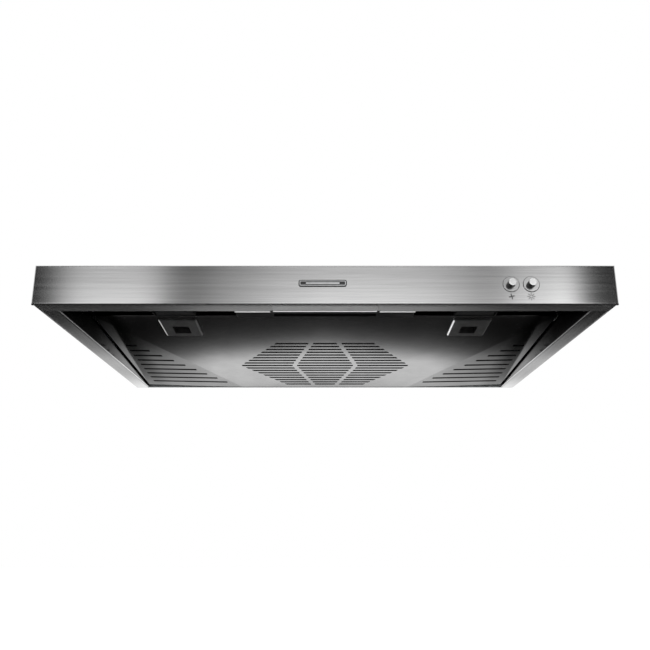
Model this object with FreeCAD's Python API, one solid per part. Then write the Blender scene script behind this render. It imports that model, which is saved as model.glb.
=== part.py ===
import FreeCAD, Part
import math
import os

# Under cabinet range hood, 30 inches wide and 18 inches deep, in millimetres.
# The origin is the centre of the four cabinet screws on the top face. +Z is up, the wall is at +Y
# and the cook stands at -Y. Everything hangs below z = 0 except the duct collar.

V = FreeCAD.Vector

# overall
fascia_width = 762.0
hood_depth = 457.0
hood_height = 120.0
fascia_height = 55.0
cabinet_depth = 305.0
sheet = 1.2                      # folded steel sheet
thin_sheet = 0.8                 # baffle, collar and other inner sheets
bend = 0.8                       # inside radius of a fold
fascia_pan_depth = 4.0
fascia_overhang = 2.5            # the fascia stands past the body on each side
rim_flange = 24.2                # width of the flange round the underside
side_leg = 20.0                  # height of the rim channel's leg against the side wall
upstand_reach = 60.0             # height of its other leg before it is trimmed to the panel's slope
hem_radius = 1.6
screw_hole_radius = 1.9

# places that follow from them
top_z = 0.0
rim_z = top_z - hood_height
wall_y = cabinet_depth / 2
front_y = wall_y - hood_depth
box_front_y = wall_y - cabinet_depth
rail_y = front_y + fascia_pan_depth
fascia_half = fascia_width / 2
fascia_top_z = rim_z + fascia_height
body_half = fascia_half - fascia_overhang
inside_half = body_half - sheet
mouth_half = body_half - rim_flange
mouth_front_y = front_y + rim_flange + 0.5
flange_top_z = rim_z + sheet
back_inner_y = wall_y - sheet
ceiling_z = top_z - sheet
shell_path = [(mouth_front_y, rim_z), (rail_y, rim_z), (rail_y, fascia_top_z), (box_front_y, top_z),
              (back_inner_y, top_z)]

# fascia, its screws and the plain plate on it
fascia_screw_x = (-330.0, -150.0, 150.0, 330.0)
fascia_screw_z = rim_z + 30.0
fascia_screw_length = 3.6
weld_nut_radius = 7.0
nameplate_x = -3.0
nameplate_z = rim_z + 28.9
nameplate_width = 63.0
nameplate_height = 9.6
nameplate_thick = 0.9
nameplate_relief = 0.4
nameplate_bar_half = 22.0

# opening in the back for a rear outlet, closed by a plate
knockout_half = 118.0
knockout_low_z = -66.0
knockout_high_z = -10.0
knockout_screw_places = [(x, z) for x in (-124.0, 124.0) for z in (-58.0, -18.0)]
back_flange_start = 140.0
back_flange_depth = 11.0

# baffle that closes the space in front of the panel
baffle_z = rim_z + 44.0
baffle_half = inside_half - 12.5

# grille panel: it slopes down to the wall and its rear corners are folded up a little
panel_half = 351.0
panel_front_y = front_y + 134.1
panel_rear_y = wall_y - 5.0
panel_front_z = rim_z + 33.2
panel_rear_z = rim_z + 0.3
panel_lip = 9.5
corner_lift = 3.5
crease_rear_x = 166.0
panel_slope = math.atan2(panel_front_z - panel_rear_z, panel_rear_y - panel_front_y)
panel_skin = sheet * math.cos(panel_slope)

# hexagonal field of slots, three cells in each row
hex_rows = 17
hex_first = 104.0
hex_pitch = 12.45
hex_slot = 6.5
hex_bar = 7.9
hex_half_first = 84.0
hex_half_middle = 154.0
hex_half_last = 78.0
hex_bar_x_end = 24.0
hex_bar_x_middle = 56.1

# rows of longer slots in the rear corners
corner_rows = 9
corner_first = 114.0
corner_pitch = 22.3
corner_slot = 7.0
corner_outer_x = 336.8
corner_inner_first = 318.5
corner_inner_last = 191.9

# latches
latch_x = 226.5
latch_width = 58.0
latch_start = 8.0
latch_length = 60.5
latch_travel = 8.0
tongue_reach = 10.9
recess_size = 25.5
recess_start = 31.5
handle_low = -2.6                # heights from the panel's underside
handle_high = -0.3
bolt_low = panel_skin + 0.2
bolt_high = bolt_low + 2.5
heel_start = 60.5                # where the bolt turns up to meet the spring
spring_start = 62.0
guide_rail = 4.0
spring_axis = bolt_low + 3.6
spring_length = 24.0
spring_radius = 2.6
spring_pitch = 3.4
spring_wire = 0.45
post_radius = 1.6
post_length = 4.0
guide_end = spring_start + spring_length
strike_front_y = panel_front_y - 15.6
strike_rear_y = panel_front_y - 1.8
strike_drop = 11.0
bumper_x = (-335.0, -90.0, 90.0, 335.0)
bumper_radius = 4.5

# filter on the panel
filter_start = 97.5
filter_end = 306.5
filter_half = 343.0
filter_gap = 4.2                 # the filter clears the raised corners of the panel
filter_thick = 8.0
filter_border = 6.0
filter_clip_front_x = (-278.0, -150.0, 150.0, 278.0)
filter_clip_rear_x = (-70.0, 70.0)
filter_clip_half = 8.0

# hinge of the grille panel
hinge_x = 120.0
hinge_y = wall_y - 10.5
hinge_z = rim_z + 6.8
hinge_screw_x = (hinge_x - 11, hinge_x + 11)
hinge_shelf_z = hinge_z + 13.0
leaf_half = 11.8
bracket_half = 20.0
knuckle_radius = 3.5
pin_radius = 1.5
pin_play = 0.05

# lamp in the front flange
lens_half = 69.5
lens_front_y = front_y + 6.6
lens_rear_y = front_y + 27.0
lens_shoulder = 3.2              # the lens's upper lip rests this far on the flange
lamp_half = 121.0
lamp_tab_y = front_y + 28.5      # the flange is this much deeper under the lamp
lamp_tab_lip = 4.0
lamp_rear_y = front_y + 51.0
lamp_top_z = -96.0
lamp_wall = 2.0
led_board_z = -104.0
led_board_thick = 1.6
led_front_y = front_y + 11.0
led_size = 5.0
driver_left_x = 120.0
driver_right_x = 205.0
driver_front_y = -204.0
driver_rear_y = -168.0
driver_height = 22.0

# push buttons
fan_button_x = 242.7
light_button_x = 269.0
button_z = rim_z + 27.7
button_radius = 5.1
button_proud = 8.7
button_travel = 2.5
bezel_radius = 10.45
bezel_proud = 0.9
sleeve_radius = 7.5
switch_half = 11.0
switch_depth = 15.5
switch_play = 0.4

# blower
fan_y = -31.0
impeller_radius = 75.0
scroll_top_z = ceiling_z - sheet
scroll_floor_z = -74.0
scroll_step = 12.0               # side of the square that the volute unwinds from
scroll_start_radius = 82.0
cutoff_angle = 40.0
shaft_radius = 3.95
inlet_radius = 62.0
impeller_low_z = -68.0
impeller_high_z = -14.0
hub_z = -52.0
blade_count = 32
motor_low_z = -46.0
motor_radius = 42.0
blower_plate_left_x = -128.0
blower_plate_right_x = 148.0
blower_tabs = [(-76.0, fan_y - 88.0), (97.0, fan_y - 85.0), (133.0, fan_y + 51.0),
               (-80.0, fan_y + 68.0)]
blower_screw_places = [(-79.0, fan_y - 91.0), (100.0, fan_y - 88.0), (134.5, fan_y + 51.0),
                       (-83.0, fan_y + 71.0)]
tab_half = 9.0
capacitor_x = -225.0
capacitor_y = -70.0
capacitor_z = -17.5
capacitor_radius = 14.0
capacitor_length = 52.0

# duct
duct_width = 254.0
duct_depth = 82.5
duct_y = wall_y - 47.5
collar_height = 40.0
flap_hinge_y = duct_y - 37.0
flap_hinge_z = 12.0
plenum_front_y = duct_y - 45.0
plenum_half = 135.0
outlet_left_x = -scroll_step / 2 + scroll_start_radius * math.cos(math.radians(cutoff_angle))
outlet_right_x = scroll_step * 3.5 + scroll_start_radius

# fixing to the cabinet
screw_spacing_x = 580.0
screw_spacing_y = 200.0
slot_width = 5.5
slot_length = 12.0
cable_x = -250.0
cable_y = 60.0
cable_radius = 11.1

# supply
junction_half_x = 42.0
junction_half_y = 32.0
junction_low_z = -44.0
lead_x = cable_x + 20
lead_z = -30.0
lead_radius = 3.0
motor_lead_y = fan_y
motor_lead_z = -9.0


# ---- shapes -------------------------------------------------------------------------------------

def box(x0, x1, y0, y1, z0, z1):
    return Part.makeBox(x1 - x0, y1 - y0, z1 - z0, V(x0, y0, z0))


def rod(radius, start, end):
    return Part.makeCylinder(radius, (end - start).Length, start, end - start)


def rounded_wire(points, radii, place):
    """Closed wire through 2-D points; each corner is an arc of its own radius, 0 for a sharp one."""
    count = len(points)
    starts = []
    ends = []
    for i in range(count):
        here = V(points[i][0], points[i][1], 0)
        back = V(*points[i - 1], 0) - here
        ahead = V(*points[(i + 1) % count], 0) - here
        turn = back.getAngle(ahead)
        cut = radii[i] / math.tan(turn / 2) if radii[i] > 0 else 0.0
        starts.append(here + back.normalize() * cut)
        ends.append(here + ahead.normalize() * cut)
    edges = []
    for i in range(count):
        if radii[i] > 0:
            here = V(points[i][0], points[i][1], 0)
            to_centre = (starts[i] + ends[i]) * 0.5 - here
            reach = math.hypot((starts[i] - here).Length, radii[i])
            middle = here + to_centre.normalize() * (reach - radii[i])
            edges.append(Part.Arc(place(starts[i]), place(middle), place(ends[i])).toShape())
        following = starts[(i + 1) % count]
        if (following - ends[i]).Length > 1e-6:
            edges.append(Part.makeLine(place(ends[i]), place(following)))
    return Part.Wire(edges)


def prism_x(points, radii, x0, x1):
    """Outline in (y, z), pushed from x0 to x1."""
    wire = rounded_wire(points, radii, lambda p: V(x0, p.x, p.y))
    return Part.Face(wire).extrude(V(x1 - x0, 0, 0))


def prism_y(points, radii, y0, y1):
    """Outline in (x, z), pushed from y0 to y1."""
    wire = rounded_wire(points, radii, lambda p: V(p.x, y0, p.y))
    return Part.Face(wire).extrude(V(0, y1 - y0, 0))


def prism_z(points, radii, z0, z1):
    """Outline in (x, y), pushed from z0 to z1."""
    wire = rounded_wire(points, radii, lambda p: V(p.x, p.y, z0))
    return Part.Face(wire).extrude(V(0, 0, z1 - z0))


def rectangle(x0, x1, y0, y1):
    return [(x0, y0), (x1, y0), (x1, y1), (x0, y1)]


def offset_path(path, distance):
    """The same open path moved to its left, with mitred corners."""
    normals = []
    for (u0, v0), (u1, v1) in zip(path, path[1:]):
        length = math.hypot(u1 - u0, v1 - v0)
        normals.append(((v0 - v1) / length, (u1 - u0) / length))
    moved = []
    for i, (u, v) in enumerate(path):
        a = normals[max(i - 1, 0)]
        b = normals[min(i, len(normals) - 1)]
        share = distance / (1 + a[0] * b[0] + a[1] * b[1])
        moved.append((u + (a[0] + b[0]) * share, v + (a[1] + b[1]) * share))
    return moved


def folded_outline(path, thickness):
    """Section of a folded sheet: the path is one face and the sheet lies to its left."""
    other = offset_path(path, thickness)
    near = [0.0]
    far = [0.0]
    for a, b, c in zip(path, path[1:], path[2:]):
        left_turn = (b[0] - a[0]) * (c[1] - b[1]) - (b[1] - a[1]) * (c[0] - b[0]) > 0
        near.append(bend + thickness if left_turn else bend)
        far.append(bend if left_turn else bend + thickness)
    near.append(0.0)
    far.append(0.0)
    return path + other[::-1], near + far[::-1]


def mirrored(shape):
    return shape.mirror(V(0, 0, 0), V(1, 0, 0))


def pair(shape):
    """The shape and its mirror image, as separate solids."""
    return Part.makeCompound([shape, mirrored(shape)])


def pan_screw(tip, direction, length, head_radius=3.6):
    """Pan head screw whose head seats at tip and whose thread runs along direction."""
    crown = tip - direction * 2.2
    head = rod(head_radius, crown, tip)
    outer_edge = [e for e in head.Edges if e.BoundBox.Center.sub(tip).dot(direction) < -2.0]
    head = head.makeFillet(1.2, outer_edge)
    thread = rod(screw_hole_radius, tip, tip + direction * length)
    slot_side = V(direction.y, direction.z, direction.x)
    slot_up = direction.cross(slot_side)
    slot = box(-3.0, 3.0, -0.5, 0.5, -0.5, 0.5)
    slot.Placement = FreeCAD.Placement(crown, FreeCAD.Rotation(slot_side, slot_up, direction))
    return head.fuse(thread).cut(slot)


def on_panel(shape):
    """Moves a shape from the panel's own axes (x, along the slope, out of the sheet) into place."""
    placed = shape.copy()
    placed.rotate(V(0, 0, 0), V(1, 0, 0), -math.degrees(panel_slope))
    placed.translate(V(0, panel_front_y, panel_front_z))
    return placed


def panel_y(along):
    return panel_front_y + along * math.cos(panel_slope)


def save(name, shape):
    solids = shape.Solids
    shape = solids[0] if len(solids) == 1 else Part.makeCompound(solids)
    assert shape.isValid(), name
    print(name, len(solids), round(shape.Volume))
    shape.exportStep("parts/" + name + ".step")


# ---- body ---------------------------------------------------------------------------------------

def shell_layer(distance, thickness, x0, x1):
    """A sheet that follows the shell's section, this far inside its outer face."""
    path = offset_path(shell_path[::-1], distance)
    return prism_x(*folded_outline(path, thickness), x0, x1)


def screw_slot(x, y):
    half = slot_length / 2
    side = slot_width / 2
    return prism_z(rectangle(x - half, x + half, y - side, y + side), [side - 0.01] * 4, -3, 1)


def screw_hole_y(x, y, z):
    """Cutter for a screw that goes front to back through the sheets near y."""
    return rod(screw_hole_radius, V(x, y - 3, z), V(x, y + 3, z))


def canopy_shell():
    shell = shell_layer(0, sheet, -inside_half, inside_half)
    tab_path = [(lamp_tab_y, rim_z + lamp_tab_lip), (lamp_tab_y, rim_z), (mouth_front_y - 1, rim_z)]
    tab = prism_x(*folded_outline(tab_path[::-1], sheet), -lamp_half, lamp_half)
    shell = shell.fuse(tab).removeSplitter()
    notch = box(lens_half + 0.3, lens_half + 4, mouth_front_y - 1.5, lamp_tab_y + 1, rim_z - 1, rim_z + 6)
    window = box(-lens_half - 0.3, lens_half + 0.3, lens_front_y - 0.3, lamp_tab_y + 1, rim_z - 1, rim_z + 6)
    cuts = [notch, mirrored(notch), window]
    duct_half = duct_width / 2
    cuts.append(box(-duct_half, duct_half, duct_y - duct_depth / 2, duct_y + duct_depth / 2, -3, 1))
    for x in (-screw_spacing_x / 2, screw_spacing_x / 2):
        for y in (-screw_spacing_y / 2, screw_spacing_y / 2):
            cuts.append(screw_slot(x, y))
    cuts.append(rod(cable_radius, V(cable_x, cable_y, -3), V(cable_x, cable_y, 1)))
    for x in (fan_button_x, light_button_x):
        cuts.append(rod(sleeve_radius, V(x, rail_y - 1, button_z), V(x, rail_y + 3, button_z)))
    for x in fascia_screw_x:
        cuts.append(screw_hole_y(x, rail_y, fascia_screw_z))
    return shell.cut(cuts)


def side_panel():
    wall_points = [(rail_y, rim_z), (rail_y, fascia_top_z), (box_front_y, top_z), (wall_y, top_z),
                   (wall_y, rim_z)]
    wall = prism_x(wall_points, [1.0, 1.0, 0, 0, 0], inside_half, body_half)
    channel_path = [(mouth_half, rim_z + upstand_reach), (mouth_half, rim_z), (body_half, rim_z),
                    (body_half, rim_z + side_leg)]
    channel = prism_y(*folded_outline(channel_path, sheet), mouth_front_y, back_inner_y)
    top_line = [(y, upstand_line(y)) for y in (mouth_front_y - 1, wall_y)]
    above = prism_x(top_line + [(wall_y, top_z), (mouth_front_y - 1, top_z)], [0] * 4,
                    mouth_half - 1, mouth_half + 4)
    kept = box(0, body_half, rail_y + 14, back_inner_y, fascia_top_z - 15, top_z)
    weld_strip = shell_layer(sheet, sheet, inside_half - 12, inside_half).common(kept)
    bead_ends = [V(mouth_half + hem_radius, y, upstand_line(y))
                 for y in (mouth_front_y + 1, panel_rear_y - 30)]
    bead = rod(hem_radius, *bead_ends)
    return wall.fuse([channel.cut(above), weld_strip, bead])


def upstand_line(y):
    """Height of the side upstand's hem, which runs along the edge of the grille panel."""
    rise = (panel_front_z - panel_rear_z - corner_lift) / (panel_rear_y - panel_front_y)
    return panel_rear_z + corner_lift + (panel_rear_y - y) * rise - 1.0


def back_panel():
    panel = box(-inside_half, inside_half, back_inner_y, wall_y, rim_z, top_z)
    flange = box(back_flange_start, inside_half - 12, back_inner_y - back_flange_depth, back_inner_y,
                 ceiling_z - sheet, ceiling_z)
    opening = box(-knockout_half, knockout_half, back_inner_y - 1, wall_y + 1,
                  knockout_low_z, knockout_high_z)
    holes = [screw_hole_y(x, back_inner_y, z) for x, z in knockout_screw_places]
    return panel.fuse([flange, mirrored(flange)]).cut([opening] + holes)


def rear_knockout_plate():
    plate_half = knockout_half + 12
    plate = prism_y(rectangle(-plate_half, plate_half, knockout_low_z - 6, knockout_high_z + 6), [3] * 4,
                    back_inner_y - thin_sheet, back_inner_y)
    return plate.cut([screw_hole_y(x, back_inner_y, z) for x, z in knockout_screw_places])


def knockout_screws():
    seat_y = back_inner_y - thin_sheet
    return Part.makeCompound([pan_screw(V(x, seat_y, z), V(0, 1, 0), length=thin_sheet + sheet)
                              for x, z in knockout_screw_places])


# ---- fascia -------------------------------------------------------------------------------------

def front_edges(shape, y):
    return [e for e in shape.Edges if abs(e.BoundBox.YMin - y) < 1e-4 and abs(e.BoundBox.YMax - y) < 1e-4]


def front_fascia():
    outer = box(-fascia_half, fascia_half, front_y, rail_y, rim_z, fascia_top_z)
    outer = outer.makeFillet(bend + sheet, front_edges(outer, front_y))
    inner_face_y = front_y + sheet
    inner = box(-fascia_half + sheet, fascia_half - sheet, inner_face_y, rail_y + 1,
                rim_z + sheet, fascia_top_z - sheet)
    inner = inner.makeFillet(bend, front_edges(inner, inner_face_y))
    holes = [rod(sleeve_radius, V(x, front_y - 1, button_z), V(x, rail_y, button_z))
             for x in (fan_button_x, light_button_x)]
    return outer.cut([inner] + holes)


def fascia_weld_nuts():
    nuts = []
    for x in fascia_screw_x:
        nut = rod(weld_nut_radius, V(x, front_y + sheet, fascia_screw_z), V(x, rail_y, fascia_screw_z))
        nuts.append(nut.cut(screw_hole_y(x, rail_y, fascia_screw_z)))
    return Part.makeCompound(nuts)


def fascia_screws():
    seat_y = rail_y + sheet
    return Part.makeCompound([pan_screw(V(x, seat_y, fascia_screw_z), V(0, -1, 0), length=fascia_screw_length)
                              for x in fascia_screw_x])


def plate_outline(inset):
    half_x = nameplate_width / 2 - inset
    half_z = nameplate_height / 2 - inset
    points = rectangle(nameplate_x - half_x, nameplate_x + half_x, nameplate_z - half_z, nameplate_z + half_z)
    return points, [3.0 - inset] * 4


def nameplate():
    blank = prism_y(*plate_outline(0), front_y - nameplate_thick, front_y)
    return blank.makeFillet(0.35, front_edges(blank, front_y - nameplate_thick))


def nameplate_trim():
    """Raised frame on the plate, with a plain bar inside it."""
    seat_y = front_y - nameplate_thick
    frame = prism_y(*plate_outline(1.5), seat_y - nameplate_relief, seat_y)
    frame = frame.cut(prism_y(*plate_outline(2.3), seat_y - 1, seat_y + 1))
    bar_points = rectangle(nameplate_x - nameplate_bar_half, nameplate_x + nameplate_bar_half,
                           nameplate_z - 0.9, nameplate_z + 0.9)
    bar = prism_y(bar_points, [0.85] * 4, seat_y - nameplate_relief, seat_y)
    return Part.makeCompound([frame, bar])


# ---- baffle and lamp ----------------------------------------------------------------------------

def front_baffle():
    path = [(rail_y + 8.5, flange_top_z), (mouth_front_y, flange_top_z), (mouth_front_y, baffle_z),
            (box_front_y, baffle_z), (box_front_y, ceiling_z - thin_sheet),
            (box_front_y + 5, ceiling_z - thin_sheet)]
    baffle = prism_x(*folded_outline(path, thin_sheet), -baffle_half, baffle_half)
    lamp_gap = box(-lamp_half - 0.4, lamp_half + 0.4, rail_y, mouth_front_y + 1,
                   flange_top_z - 1, lamp_top_z + 0.4)
    upstand_gap = box(mouth_half - 0.6, mouth_half + 2 * hem_radius + 0.6,
                      mouth_front_y + 0.01, box_front_y - 1.5, baffle_z - 2, baffle_z + 3)
    lead_hole = rod(5, V(lead_x, box_front_y - 3, lead_z), V(lead_x, box_front_y + 3, lead_z))
    return baffle.cut([lamp_gap, upstand_gap, mirrored(upstand_gap), lead_hole])


def lamp_housing():
    wall = lamp_wall
    front = rail_y + sheet + 1.0
    body = box(-lamp_half, lamp_half, front, lamp_rear_y, flange_top_z, lamp_top_z)
    low_rear = [e for e in body.Edges if abs(e.BoundBox.XLength) < 1e-4 and e.BoundBox.ZLength < 1e-4]
    body = body.makeFillet(1.5, [e for e in low_rear if e.BoundBox.YMax > front + 5])
    hollow = box(-lamp_half + wall, lamp_half - wall, front + wall, lamp_rear_y - wall,
                 flange_top_z + wall, lamp_top_z - wall)
    gap_half = lens_half + lens_shoulder + 0.4
    lens_gap = box(-gap_half, gap_half, front - 1, lens_rear_y + 0.3,
                   flange_top_z - 1, flange_top_z + wall + 1)
    lip_gap = box(-lamp_half - 1, lamp_half + 1, lamp_tab_y - sheet - 1.4, lamp_tab_y + 0.3,
                  flange_top_z - 1, rim_z + lamp_tab_lip + 0.3)
    pry_slot = box(-lens_half, lens_half, front_y + 38.1, lamp_rear_y - 2.5,
                   flange_top_z - 1, flange_top_z + wall + 1)
    ribs = [box(x - 1, x + 1, front + 3, front + 17, led_board_z, lamp_top_z - wall + 0.5)
            for x in (-60.0, 0.0, 60.0)]
    return body.cut([hollow, lens_gap, lip_gap, pry_slot]).fuse(ribs)


def lamp_lens():
    high = flange_top_z + 1.4
    window = box(-lens_half, lens_half, lens_front_y, lens_rear_y, rim_z, high)
    rear_low = [e for e in window.Edges
                if e.BoundBox.YMin > lens_rear_y - 0.01 and e.BoundBox.ZMax < rim_z + 0.01]
    window = window.makeFillet(2.0, rear_low)
    lip_half = lens_half + lens_shoulder
    lip = box(-lip_half, lip_half, rail_y + sheet + 1.2, mouth_front_y - 1.9, flange_top_z, high)
    return window.fuse(lip).removeSplitter()


def led_board():
    under_z = led_board_z - led_board_thick
    board = box(-66, 66, rail_y + 5, mouth_front_y - 4, under_z, led_board_z)
    half = led_size / 2
    chips = [box(x - half, x + half, led_front_y, led_front_y + led_size, under_z - 1.2, under_z)
             for x in range(-54, 55, 18)]
    return board.fuse(chips)


def led_driver():
    floor = baffle_z + thin_sheet
    case = box(driver_left_x, driver_right_x, driver_front_y, driver_rear_y, floor, floor + driver_height)
    upright = [e for e in case.Edges if e.BoundBox.ZLength > 5]
    case = case.makeFillet(2, upright)
    tabs = [box(x, x + 9, driver_rear_y - 12, driver_rear_y - 2, floor, floor + 2)
            for x in (driver_left_x - 9, driver_right_x)]
    return case.fuse(tabs)


# ---- buttons ------------------------------------------------------------------------------------

def button_bezel(x):
    face_y = front_y - bezel_proud
    ring = rod(bezel_radius, V(x, face_y, button_z), V(x, front_y, button_z))
    ring = ring.makeFillet(0.5, front_edges(ring, face_y))
    sleeve = rod(sleeve_radius, V(x, front_y, button_z), V(x, rail_y + sheet, button_z))
    hole = rod(button_radius + 0.1, V(x, front_y - 2, button_z), V(x, rail_y + 4, button_z))
    return ring.fuse(sleeve).cut(hole)


def button_cap(x):
    end_y = front_y - button_proud
    cap = rod(button_radius, V(x, end_y, button_z), V(x, rail_y + sheet + 1.0, button_z))
    return cap.makeFillet(0.8, front_edges(cap, end_y))


def switch_body(x):
    case_y = rail_y + sheet + thin_sheet
    end_y = case_y + switch_depth
    case = box(x - switch_half, x + switch_half, case_y, end_y, button_z - 10, button_z + 10)
    well_end_y = case_y + button_travel + 1.5
    well = rod(button_radius + switch_play, V(x, case_y - 1, button_z), V(x, well_end_y, button_z))
    pins = [box(x + s - 1.2, x + s + 1.2, end_y, end_y + 2, button_z - 4, button_z + 4) for s in (-5, 5)]
    return case.cut(well).fuse(pins)


def switch_bracket():
    x0 = fan_button_x - 24
    x1 = light_button_x + 24
    plate = box(x0, x1, rail_y + sheet, rail_y + sheet + thin_sheet, button_z - 18, button_z + 18)
    holes = [rod(button_radius + switch_play, V(x, rail_y, button_z), V(x, rail_y + 4, button_z))
             for x in (fan_button_x, light_button_x)]
    return plate.cut(holes)


# ---- blower -------------------------------------------------------------------------------------

def volute_wire(grow, z):
    """Blower outline: four arcs that unwind from a square, then the outlet's two straight sides."""
    half = scroll_step / 2
    corners = [(-half, half), (-half, -half), (half, -half), (half, half)]
    outlet_x = half + scroll_start_radius + 3 * scroll_step + grow
    cutoff = math.radians(cutoff_angle)
    cutoff_x = -half + scroll_start_radius * math.cos(cutoff) - grow
    start_angle = math.degrees(math.acos((cutoff_x + half) / (scroll_start_radius + grow)))
    angles = [start_angle, 90, 180, 270, 360]
    edges = []
    for i, (x, y) in enumerate(corners):
        radius = scroll_start_radius + i * scroll_step + grow
        circle = Part.Circle(V(x, fan_y + y, z), V(0, 0, 1), radius)
        arc = Part.ArcOfCircle(circle, math.radians(angles[i]), math.radians(angles[i + 1]))
        edges.append(arc.toShape())
    first = edges[0].valueAt(edges[0].FirstParameter)
    last = edges[3].valueAt(edges[3].LastParameter)
    edges.append(Part.makeLine(last, V(outlet_x, plenum_front_y, z)))
    edges.append(Part.makeLine(V(outlet_x, plenum_front_y, z), V(cutoff_x, plenum_front_y, z)))
    edges.append(Part.makeLine(V(cutoff_x, plenum_front_y, z), first))
    return Part.Wire(edges)


def blower_scroll():
    floor_z = scroll_floor_z - sheet
    outer = Part.Face(volute_wire(sheet, floor_z)).extrude(V(0, 0, scroll_top_z - floor_z))
    inner = Part.Face(volute_wire(0, scroll_floor_z)).extrude(V(0, 0, scroll_top_z - scroll_floor_z))
    tabs = [box(x - tab_half, x + tab_half, y - tab_half, y + tab_half, scroll_top_z - sheet, scroll_top_z)
            for x, y in blower_tabs]
    inlet = rod(inlet_radius + 1, V(0, fan_y, floor_z - 1), V(0, fan_y, scroll_floor_z + 1))
    lead_hole = rod(lead_radius + 1, V(-110, motor_lead_y, motor_lead_z), V(-80, motor_lead_y, motor_lead_z))
    return outer.fuse(tabs).cut([inner, inlet, lead_hole] + blower_screw_holes())


def blower_screw_holes():
    return [rod(screw_hole_radius, V(x, y, scroll_top_z - 8), V(x, y, top_z)) for x, y in blower_screw_places]


def blower_top_plate():
    outline = rectangle(blower_plate_left_x, blower_plate_right_x, box_front_y + 5.5, plenum_front_y - 1.5)
    plate = prism_z(outline, [6] * 4, scroll_top_z, ceiling_z)
    return plate.cut(blower_screw_holes())


def blower_screws():
    seat_z = scroll_top_z - sheet
    return Part.makeCompound([pan_screw(V(x, y, seat_z), V(0, 0, 1), length=2 * sheet)
                              for x, y in blower_screw_places])


def revolved(points, x, y):
    """Solid of revolution about the vertical axis at (x, y) from an outline in (radius, z)."""
    corners = [V(x + r, y, z) for r, z in points]
    face = Part.Face(Part.makePolygon(corners + corners[:1]))
    return face.revolve(V(x, y, 0), V(0, 0, 1), 360)


def inlet_ring():
    floor_z = scroll_floor_z - sheet
    outline = [(inlet_radius, floor_z + 5), (inlet_radius, floor_z - 1), (inlet_radius + 4, floor_z - 4),
               (inlet_radius + 14, floor_z - 2), (inlet_radius + 14, floor_z), (inlet_radius + 1, floor_z),
               (inlet_radius + 1, floor_z + 5)]
    return revolved(outline, 0, fan_y)


def impeller():
    outer = impeller_radius
    cup = outer - 25
    body = revolved([(shaft_radius, hub_z - 6), (10, hub_z - 6), (10, hub_z), (cup + 1.5, hub_z),
                     (cup + 1.5, impeller_high_z - 1.5), (outer, impeller_high_z - 1.5),
                     (outer, impeller_high_z), (cup, impeller_high_z), (cup, hub_z + 1.5),
                     (shaft_radius, hub_z + 1.5)], 0, fan_y)
    ring = revolved([(outer - 9, impeller_low_z), (outer, impeller_low_z), (outer, impeller_low_z + 1.5),
                     (outer - 9, impeller_low_z + 1.5)], 0, fan_y)
    blade_face = blade_outline(outer)
    blade = blade_face.extrude(V(0, 0, impeller_high_z - impeller_low_z - 2.6))
    blades = []
    for i in range(blade_count):
        copy = blade.copy()
        copy.rotate(V(0, fan_y, 0), V(0, 0, 1), 360.0 * i / blade_count)
        blades.append(copy)
    return body.fuse([ring] + blades)


def blade_outline(outer):
    """Forward curved blade: two concentric arcs a sheet apart, leaning in the direction of turning."""
    z = impeller_low_z + 1.3
    inner = outer - 12.5
    thick = 0.9
    ends = [V(inner, fan_y, z), V(outer - 0.6, fan_y + 4.5, z)]
    middle = V((inner + outer) / 2 + 0.6, fan_y + 0.4, z)
    shift = V(0, thick, 0)
    edges = [Part.Arc(ends[0], middle, ends[1]).toShape(),
             Part.makeLine(ends[1], ends[1] + shift),
             Part.Arc(ends[1] + shift, middle + shift, ends[0] + shift).toShape(),
             Part.makeLine(ends[0] + shift, ends[0])]
    return Part.Face(Part.Wire(edges))


def motor():
    bore = shaft_radius + pin_play
    return revolved([(bore, motor_low_z), (14, motor_low_z), (14, motor_low_z + 4),
                     (motor_radius - 4, motor_low_z + 4), (motor_radius, motor_low_z + 8),
                     (motor_radius, scroll_top_z - 2.4), (motor_radius + 5, scroll_top_z - 2.4),
                     (motor_radius + 5, scroll_top_z), (bore, scroll_top_z)], 0, fan_y)


def motor_shaft():
    return rod(shaft_radius, V(0, fan_y, hub_z - 14), V(0, fan_y, motor_low_z + 26))


def impeller_nut():
    reach = 7.0
    corners = [V(reach * math.cos(math.radians(a)), fan_y + reach * math.sin(math.radians(a)), hub_z - 11)
               for a in range(0, 361, 60)]
    nut = Part.Face(Part.makePolygon(corners)).extrude(V(0, 0, 5))
    return nut.cut(rod(shaft_radius, V(0, fan_y, hub_z - 12), V(0, fan_y, hub_z)))


def capacitor():
    start = V(capacitor_x, capacitor_y, capacitor_z)
    can = rod(capacitor_radius, start, start + V(capacitor_length, 0, 0))
    return can.makeFillet(1.5, can.Edges[0:1] + can.Edges[2:3])


def capacitor_clip():
    x0 = capacitor_x + 19
    x1 = x0 + 14
    outer_radius = capacitor_radius + sheet
    arm_y = capacitor_y - capacitor_radius
    start = V(x0, capacitor_y, capacitor_z)
    end = V(x1, capacitor_y, capacitor_z)
    strap = rod(outer_radius, start, end).cut(rod(capacitor_radius, start, end))
    foot = box(x0, x1, arm_y - 10, arm_y - sheet, ceiling_z - sheet, ceiling_z)
    arm = box(x0, x1, arm_y - sheet, arm_y, capacitor_z, ceiling_z)
    open_side = box(x0 - 1, x1 + 1, arm_y + 0.1, capacitor_y + 20, capacitor_z + 0.1, top_z)
    return strap.cut(open_side).fuse([foot, arm])


# ---- duct ---------------------------------------------------------------------------------------

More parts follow.
